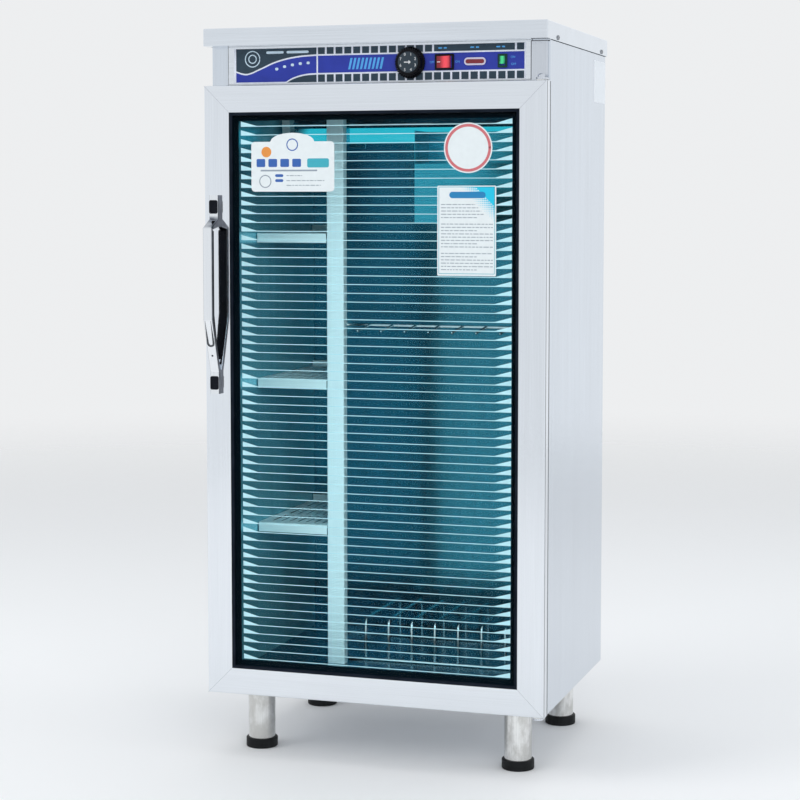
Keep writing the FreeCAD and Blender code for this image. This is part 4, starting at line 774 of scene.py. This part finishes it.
LINE_X, LINE_Z = (-0.196, 0.2025), (0.166, 1.0365)
LINE_COUNT, LINE_HALF = 63, 0.00060
WEDGE_LONG, WEDGE_HIGH = 0.027, 0.0085
PRINT_THICK = 0.00008
line_y = (GLASS_FACE - PRINT_THICK, GLASS_FACE)
tip_left, tip_right = LINE_X
line_u = np.array([tip_left - WEDGE_LONG, tip_right + WEDGE_LONG, tip_right + WEDGE_LONG,
                   tip_right, tip_left, tip_left - WEDGE_LONG])
wedge_top = WEDGE_HIGH - LINE_HALF
line_v = np.array([-LINE_HALF, -LINE_HALF, wedge_top, LINE_HALF, LINE_HALF, wedge_top])
lines = [prism("xz", line_u, z + line_v, line_y) for z in np.linspace(*LINE_Z, LINE_COUNT)]
line_ink = printed("line_ink", (0.50, 0.82, 0.90), 0.4)
build("glass_lines", *several(lines), "door", line_ink, "tinted_glass")

GASKET_LIP = 0.005                        # how far the gasket stands into the window
SEEN, HIDDEN = 0.0085, 0.0030             # the print's width inside the gasket's lip, and under it
print_y = (GLASS_BACK, GLASS_BACK + PRINT_THICK)
lip_x = WINDOW_X - GASKET_LIP
low, high = WINDOW_Z[0] + GASKET_LIP, WINDOW_Z[1] - GASKET_LIP
border = []
for x in ((-lip_x - HIDDEN, -lip_x + SEEN), (lip_x - SEEN, lip_x + HIDDEN)):
    border.append(slab("xz", x, (low - HIDDEN, high + HIDDEN), print_y, 0.0002, arc_points=2))
for z in ((low - HIDDEN, low + SEEN), (high - SEEN, high + HIDDEN)):
    border.append(slab("xz", (-lip_x + SEEN, lip_x - SEEN), z, print_y, 0.0002, arc_points=2))
border_ink = printed("border_ink", (0.006, 0.020, 0.034), 0.3)
build("glass_border", *several(border), "door", border_ink, "tinted_glass")

LABEL_THICK = 0.00025
label_y = (GLASS_FACE - LABEL_THICK, GLASS_FACE)
over_label = (label_y[0] - INK, label_y[0])


def vinyl(name, tone):
    """Printed vinyl: satin face with faint mottling and slight bubbles where it was smoothed down."""
    finish = Finish(name)
    mottle = finish.noise(120.0, 3.0)
    bubble = finish.noise(28.0, 1.0)
    finish.link("Base Color", finish.blend(mottle, toned(tone, 0.95), toned(tone, 1.04)))
    finish.link("Roughness", 0.38 + (mottle - 0.5) * 0.1)
    finish.bump(bubble * 0.0001)
    return finish


def patch(x, z, radius, y=over_label):
    """A flat rounded shape printed on a label or the glass."""
    return slab("xz", x, z, y, radius)


def disc(x, z, radius, y=over_label, sides=72):
    """A round flat shape: a circle carried from y[0] to y[1]."""
    turn = np.linspace(0, 2 * np.pi, sides, endpoint=False)
    return prism("xz", x + radius * np.cos(turn), z + radius * np.sin(turn), y)


def put_print(name, shapes, ink, tone):
    """A printed or stuck-on layer on the door, of one colour of vinyl."""
    build(name, *several(shapes), "door", vinyl(ink, tone), "printed_overlay")


BADGE_X, BADGE_Z = (-0.205, -0.063), (0.9315, 1.0115)
SHEET_X, SHEET_Z = (0.1085, 0.2040), (0.7995, 0.9405)
ARCH_MIDDLE, ARCH_HALF, ARCH_HIGH = -0.1345, 0.0376, 0.0145
ROUND_X, ROUND_Z, ROUND_R = 0.1583, 0.9993, 0.0392
arch_u = np.linspace(-0.172, -0.097, 30)
arch_z = 1.0110 + ARCH_HIGH * np.sqrt(np.clip(1 - ((arch_u - ARCH_MIDDLE) / ARCH_HALF) ** 2, 0, 1))
badge = [patch(BADGE_X, BADGE_Z, 0.006, label_y)]
badge.append(ribbon(arch_u, 0 * arch_u + 1.0065, arch_z, (label_y[0] + 0.00001, GLASS_FACE)))
badge.append(disc(ROUND_X, ROUND_Z, ROUND_R, label_y, 96))
badge.append(patch(SHEET_X, SHEET_Z, 0.002, label_y))
put_print("label_ground", badge, "white_vinyl", (0.80, 0.86, 0.88))

# A teal pill on the badge, and a teal rule round the sheet.
TRIM_HALF = 0.0004
left, right, low, high = 0.1110, 0.2015, 0.8030, 0.9385
teal = [patch((-0.109, -0.072), (0.9700, 0.9845), 0.003)]
teal += [patch((left, right), (z - TRIM_HALF, z + TRIM_HALF), 0.0003) for z in (low, high)]
teal += [patch((x - TRIM_HALF, x + TRIM_HALF), (low, high), 0.0003) for x in (left, right)]
put_print("label_teal", teal, "teal_print", (0.05, 0.42, 0.52))

blue_print = [patch((x, x + 0.0150), (0.971, 0.984), 0.002) for x in -0.196 + 0.0205 * np.arange(4)]
blue_print += [patch((-0.1640, -0.1500), (z, z + 0.0045), 0.0022) for z in (0.9550, 0.9470)]
blue_print += [hoop(ARCH_MIDDLE, 1.0065, 0.0100, 0.0082, over_label)]
put_print("label_blue", blue_print, "blue_print", (0.03, 0.12, 0.42))
put_print("label_orange", [disc(-0.1790, 0.9950, 0.0085)], "orange_print", (0.80, 0.30, 0.06))

# The sheet's corner is printed solid, and fades into a halftone of smaller and smaller dots.
CORNER_LEG, DOT_PITCH, DOT_ROWS, SOLID_STEPS = 0.031, 0.0030, 18, 9
DOT_R, DOT_SHRINK, DOT_LEAST = 0.0014, 0.00014, 0.0003
corner_x = right - CORNER_LEG * np.array([0.0, 1.0, 0.0])
corner_z = high - CORNER_LEG * np.array([0.0, 0.0, 1.0])
halftone = [prism("xz", corner_x, corner_z, over_label)]
for column in range(DOT_ROWS):
    for row in range(max(0, SOLID_STEPS + 1 - column), DOT_ROWS):
        size = DOT_R - DOT_SHRINK * (column + row - SOLID_STEPS - 1)
        if size > DOT_LEAST:
            dot_x, dot_z = right - DOT_PITCH * (column + 0.5), high - DOT_PITCH * (row + 0.5)
            halftone.append(disc(dot_x, dot_z, size, sides=10))
put_print("label_halftone", halftone, "cyan_print", (0.01, 0.56, 0.80))
heading = patch((0.128, 0.187), (0.921, 0.931), 0.005, (over_label[0] - INK, over_label[0]))
put_print("label_heading", [heading], "heading_print", (0.012, 0.22, 0.48))

scatter = np.random.default_rng(7)


def word_bars(start, end, z):
    """A line of plain bars where words would be: widths drawn at random until the line is full."""
    bars, x = [], start
    while x < end - 0.001:
        wide = min(scatter.uniform(0.0030, 0.0095), end - x)
        bars.append(slab("xz", (x, x + wide), (z, z + 0.0013), over_label, 0.0004, arc_points=2))
        x += wide + 0.0013
    return bars


ROW_PITCH, ROW_COUNT, GAP_ROWS = 0.0051, 21, (5, 14)
ROW_LEFT, ROW_RIGHT, ROW_TOP = 0.1145, 0.1990, 0.9105
SHORT_BY, SLOPE_START = 0.0260, 0.1700    # each fourth row is short, and the top ones clear the corner
grey_lines = [hoop(-0.1810, 0.9480, 0.0105, 0.0088, over_label)]
grey_lines.append(patch((-0.189, -0.092), (0.9640, 0.9666), 0.0006))
for i in range(ROW_COUNT):
    if i not in GAP_ROWS:
        line_end = min(ROW_RIGHT - (0.0 if i % 4 else SHORT_BY), SLOPE_START + ROW_PITCH * i)
        grey_lines += word_bars(ROW_LEFT, line_end, ROW_TOP - ROW_PITCH * i)
for line_end, z in ((-0.118, 0.9565), (-0.080, 0.9485), (-0.086, 0.9410)):
    grey_lines += word_bars(-0.1445, line_end, z)
put_print("label_rules", grey_lines, "grey_print", (0.30, 0.36, 0.42))
ring = hoop(ROUND_X, ROUND_Z, 0.0372, 0.0328, over_label)
put_print("label_ring", [ring], "rose_print", (0.62, 0.16, 0.18))


# The handle: a chromed strap with a ribbed black grip behind it, bolted through the left stile
# under two black caps.

HANDLE_MIDDLE = -0.2655
chrome = Finish("handle_chrome", Metallic=1.0)
chrome_place = chrome.axes()
# The strap's sides are painted dark and mottled by noise: painted shade and dark reflection. A band across
# the face at the upper bend is painted darker: painted shade. The face's fine drawn streaks are the metal's
# own.
side_shade_share = chrome.step(abs(chrome_place[0] - HANDLE_MIDDLE), 0.0066, 0.0078)
drawn = chrome.noise((900.0, 900.0, 9.0), 3.0)
shade_mottle = chrome.step(chrome.noise((40.0, 40.0, 26.0), 2.0), 0.36, 0.64)
bend_shade = chrome.step(chrome_place[2], 0.8715, 0.8765) * chrome.step(chrome_place[2], 0.8935, 0.8885)
bright = chrome.blend(drawn, (0.78, 0.80, 0.83), (0.88, 0.90, 0.92))
face_and_bend_shade = chrome.blend(bend_shade * (0.5 + 0.5 * shade_mottle), bright, (0.20, 0.22, 0.26))
side_shade_tone = chrome.blend(shade_mottle, (0.045, 0.05, 0.065), (0.19, 0.20, 0.23))
chrome.link("Base Color", chrome.blend(side_shade_share, face_and_bend_shade, side_shade_tone))
chrome.link("Roughness", 0.07 + side_shade_share * 0.22 + (drawn - 0.5) * 0.04)
chrome.bump(chrome.noise((120.0, 120.0, 25.0), 2.0) * 0.00006)
dress(chrome, "door_handle")
grip_black = moulded("grip_black", (0.003, 0.004, 0.008), 0.45, 0.15, Specular_IOR_Level=0.10)
dress(grip_black, "handle_grip", "handle_caps")

# A U-shaped groove is pressed into the top of the long slope, and a rivet sits below it. The groove is drawn
# as a dark bar: painted shade in the pressed groove; the rivet takes the same dark tone.
SLOPE_TOP, SLOPE_FOOT = (0.037, 0.725), (0.010, 0.639)    # out from the door's face, and up
slope_run = np.array(SLOPE_FOOT) - np.array(SLOPE_TOP)
slope_way = slope_run / np.linalg.norm(slope_run)
slope_out = np.array([-slope_way[1], slope_way[0]])


def on_slope(x, down, lift):
    """A place on the handle's long slope: x across, down along it from its top, lift off its face."""
    reach = SLOPE_TOP[0] + slope_way[0] * down + slope_out[0] * lift
    height = SLOPE_TOP[1] + slope_way[1] * down + slope_out[1] * lift
    return turned("xz", x + 0 * reach, height, FRONT - reach)


GROOVE_HALF, GROOVE_TOP, GROOVE_LONG = 0.0050, 0.001, 0.040
GROOVE_R, GROOVE_TIP = 0.0017, 0.0002
RIVET_R, RIVET_DOWN = 0.0017, 0.062
arc = np.linspace(0, np.pi, 18)[1:-1]
groove_x = GROOVE_HALF * np.concatenate([[1.0, 1.0], np.cos(arc), [-1.0, -1.0]])
round_end = GROOVE_LONG + GROOVE_HALF * np.sin(arc)
groove_down = np.concatenate([[GROOVE_TOP, GROOVE_LONG], round_end, [GROOVE_LONG, GROOVE_TOP]])
groove_path = on_slope(HANDLE_MIDDLE + groove_x, groove_down, 0.0)
groove_radii = np.concatenate([[GROOVE_TIP], [GROOVE_R] * (len(groove_x) - 2), [GROOVE_TIP]])
normal = on_slope(0.0, 0.0, 1.0) - on_slope(0.0, 0.0, 0.0)
groove = tube(groove_path, groove_radii, 12, normal)
rivet = bead(on_slope(np.array(HANDLE_MIDDLE), RIVET_DOWN, 0.0), [RIVET_R] * 3, 9, 16)
groove_painted_shade = moulded("groove_painted_shade", (0.06, 0.065, 0.075), 0.35, Metallic=0.3)
build("handle_groove", *several([groove, rivet]), "door", groove_painted_shade, "handle_chrome")


# The hinges: thick zinc-plated brackets with a domed pin, and cross-head screws. A dark strip along the upper
# bracket's left and top edges is painted shadow of the gap round the bracket.

hinge_plate = brushed("hinge_plate", (0.66, 0.69, 0.74), 0.26, "z", 0.03, 0.05, 0.0)
dress(hinge_plate, "hinge_bracket_upper", "hinge_bracket_lower")
dress(brushed("screw_steel", (0.34, 0.35, 0.37), 0.30, "z", 0.04, 0.04, 0.0), "sheet_screws")

# These dark strips are painted shadow of the gap at the bracket's edges.
HINGE_GAP_X, HINGE_GAP_Z = (0.2522, 0.2537, 0.2825), (1.1050, 1.1632, 1.1640, 1.1648)
hinge_gap_y = (PANEL_Y - 0.0014, PANEL_Y + 0.0004)
hinge_gap_strips = [slab("xz", (HINGE_GAP_X[0], HINGE_GAP_X[1]), (HINGE_GAP_Z[0], HINGE_GAP_Z[2]), hinge_gap_y, 0.0004, 0.0002)]
hinge_gap_strips.append(slab("xz", (HINGE_GAP_X[0], HINGE_GAP_X[2]), (HINGE_GAP_Z[1], HINGE_GAP_Z[3]), hinge_gap_y, 0.0004, 0.0002))
hinge_gap_dark = moulded("hinge_gap_dark", (0.045, 0.048, 0.055), 0.5)
build("hinge_gap_shade", *several(hinge_gap_strips), "cabinet", hinge_gap_dark, "gasket_rubber")


# The legs: polished stainless tube, mottled with painted dark reflections, pressed into black rubber caps.

leg_steel = brushed("leg_steel", (0.84, 0.84, 0.83), 0.20, "z", 0.07, 0.09, 0.0)
# Darker blotches are painted reflection: they stand for dark surroundings mirrored in the polished tube.
reflection_blotches = leg_steel.step(leg_steel.noise((60.0, 60.0, 30.0), 4.0, 0.6), 0.38, 0.66)
reflection_mottled = leg_steel.blend(reflection_blotches, (0.60, 0.595, 0.575), leg_steel.driver_of("Base Color"))
leg_steel.link("Base Color", reflection_mottled)
dress(leg_steel, "leg_tubes")
dress(moulded("foot_rubber", (0.008, 0.009, 0.010), 0.55, 0.2, Specular_IOR_Level=0.18), "leg_caps")


# The plate on the right side: pale printed aluminium, left bare of writing.

casing_side = edges("side_panel_right")[1][0]
SIDE_PLATE_Y, SIDE_PLATE_Z = (0.137, 0.227), (1.084, 1.155)
side_plate = slab("yz", SIDE_PLATE_Y, SIDE_PLATE_Z, (casing_side, casing_side + 0.0002), 0.003)
build("side_plate", *side_plate, "cabinet", vinyl("plate_print", (0.80, 0.84, 0.88)), "printed_overlay")


# The studio: a pale round floor that fades into pale air, soft lamps and the camera.

FLOOR_REACH, FLOOR_SIDES, FADE = 7.0, 96, (1.7, 5.5)
paper = Finish("studio_paper", Roughness=0.9)
grain = paper.noise(1.5, 2.0)
paper.link("Base Color", paper.blend(grain, (0.93, 0.935, 0.94), (0.94, 0.945, 0.95)))
flat_place = paper.axes()
fading = paper.step((flat_place[0] ** 2.0 + flat_place[1] ** 2.0) ** 0.5, *FADE)
air_through = paper.node("ShaderNodeBsdfTransparent")
sheet = paper.node("Principled BSDF")
faded = paper.node("ShaderNodeMixShader", sockets={0: fading, 1: sheet, 2: air_through})
paper.surface(faded)
floor_turn = np.linspace(0, 2 * np.pi, FLOOR_SIDES, endpoint=False)
floor_points = turned("xy", FLOOR_REACH * np.cos(floor_turn), FLOOR_REACH * np.sin(floor_turn), 0.0)
floor_mesh = bpy.data.meshes.new("studio_ground")
floor_mesh.from_pydata(floor_points, [], [list(range(FLOOR_SIDES))])
ground = put("studio_ground", floor_mesh)
dress(paper, ground)

# The air is brighter in what the metal and the glass mirror than in its own light on the cabinet,
# and drifts slowly round it. The camera sees one plain tone.
DIFFUSE_AIR, MIRRORED_AIR, DRIFT = 0.62, 0.94, 0.06
world = bpy.data.worlds.new("studio_air")
world.use_nodes = True
bpy.context.scene.world = world
around = Nodes(world.node_tree)
rays = around.node("ShaderNodeLightPath")
mirrored = rays.math("MAXIMUM", rays.outlet("Is Glossy Ray"), rays.outlet("Is Transmission Ray"))
level_range = {"Value": mirrored, "To Min": DIFFUSE_AIR, "To Max": MIRRORED_AIR}
level = around.node("ShaderNodeMapRange", sockets=level_range)
toward = around.node("ShaderNodeTexCoord", out="Generated")
waft = around.node("ShaderNodeTexNoise", sockets={"Vector": toward, "Scale": 1.6, "Detail": 0.0})
soft_range = {"Value": waft, "From Min": 0.32, "From Max": 0.68, "To Min": 1 - DRIFT, "To Max": 1 + DRIFT}
strength = level * around.node("ShaderNodeMapRange", sockets=soft_range)
air = around.node("Background", sockets={0: (0.94, 0.97, 1.0, 1.0), 1: strength})
backdrop = around.node("ShaderNodeBackground", sockets={0: (0.85, 0.86, 0.87, 1.0)})
seen = {0: rays.outlet("Is Camera Ray"), 1: air, 2: backdrop}
around.surface(around.node("ShaderNodeMixShader", sockets=seen), "World Output")

CABINET_MIDDLE = mathutils.Vector((0.0, 0.0, 0.62))


def lamp(name, place, size, power, tone=(1.0, 1.0, 1.0)):
    """A soft rectangular lamp turned to face the cabinet, and not mirrored in the metal."""
    light = bpy.data.lights.new(name, "AREA")
    light.shape, light.size, light.size_y = "RECTANGLE", *size
    light.energy, light.color = power, tone
    thing = put(name, light)
    thing.location = place
    thing.visible_glossy = False
    thing.rotation_euler = (CABINET_MIDDLE - mathutils.Vector(place)).to_track_quat("-Z", "Y").to_euler()


lamp("key_lamp", (-3.4, -2.6, 3.0), (2.6, 2.6), 60)
lamp("front_lamp", (2.6, -4.2, 2.6), (2.4, 2.4), 50)
lamp("side_lamp", (3.6, 0.6, 1.8), (2.4, 3.0), 24, (0.90, 0.94, 1.0))
lamp("top_lamp", (0.0, 0.2, 3.6), (3.0, 3.0), 30)

SENSOR_WIDE = 36.0
FOCAL_PIXELS, FRAME_PIXELS = 2012.1, 800.0
LOOKS_DOWN, LOOKS_LEFT = 4.351, 17.844
EYE_PLACE, PICTURE_LOW = (1.0225, -3.2327, 0.9199), -0.06
view = bpy.data.cameras.new("studio_camera")
view.sensor_width = SENSOR_WIDE
view.lens = FOCAL_PIXELS * SENSOR_WIDE / FRAME_PIXELS
view.shift_y = PICTURE_LOW
eye = put("studio_camera", view)
eye.location = EYE_PLACE
eye.rotation_euler = (math.radians(90 - LOOKS_DOWN), 0.0, math.radians(LOOKS_LEFT))
bpy.context.scene.camera = eye
bpy.context.scene.view_settings.view_transform = "Standard"
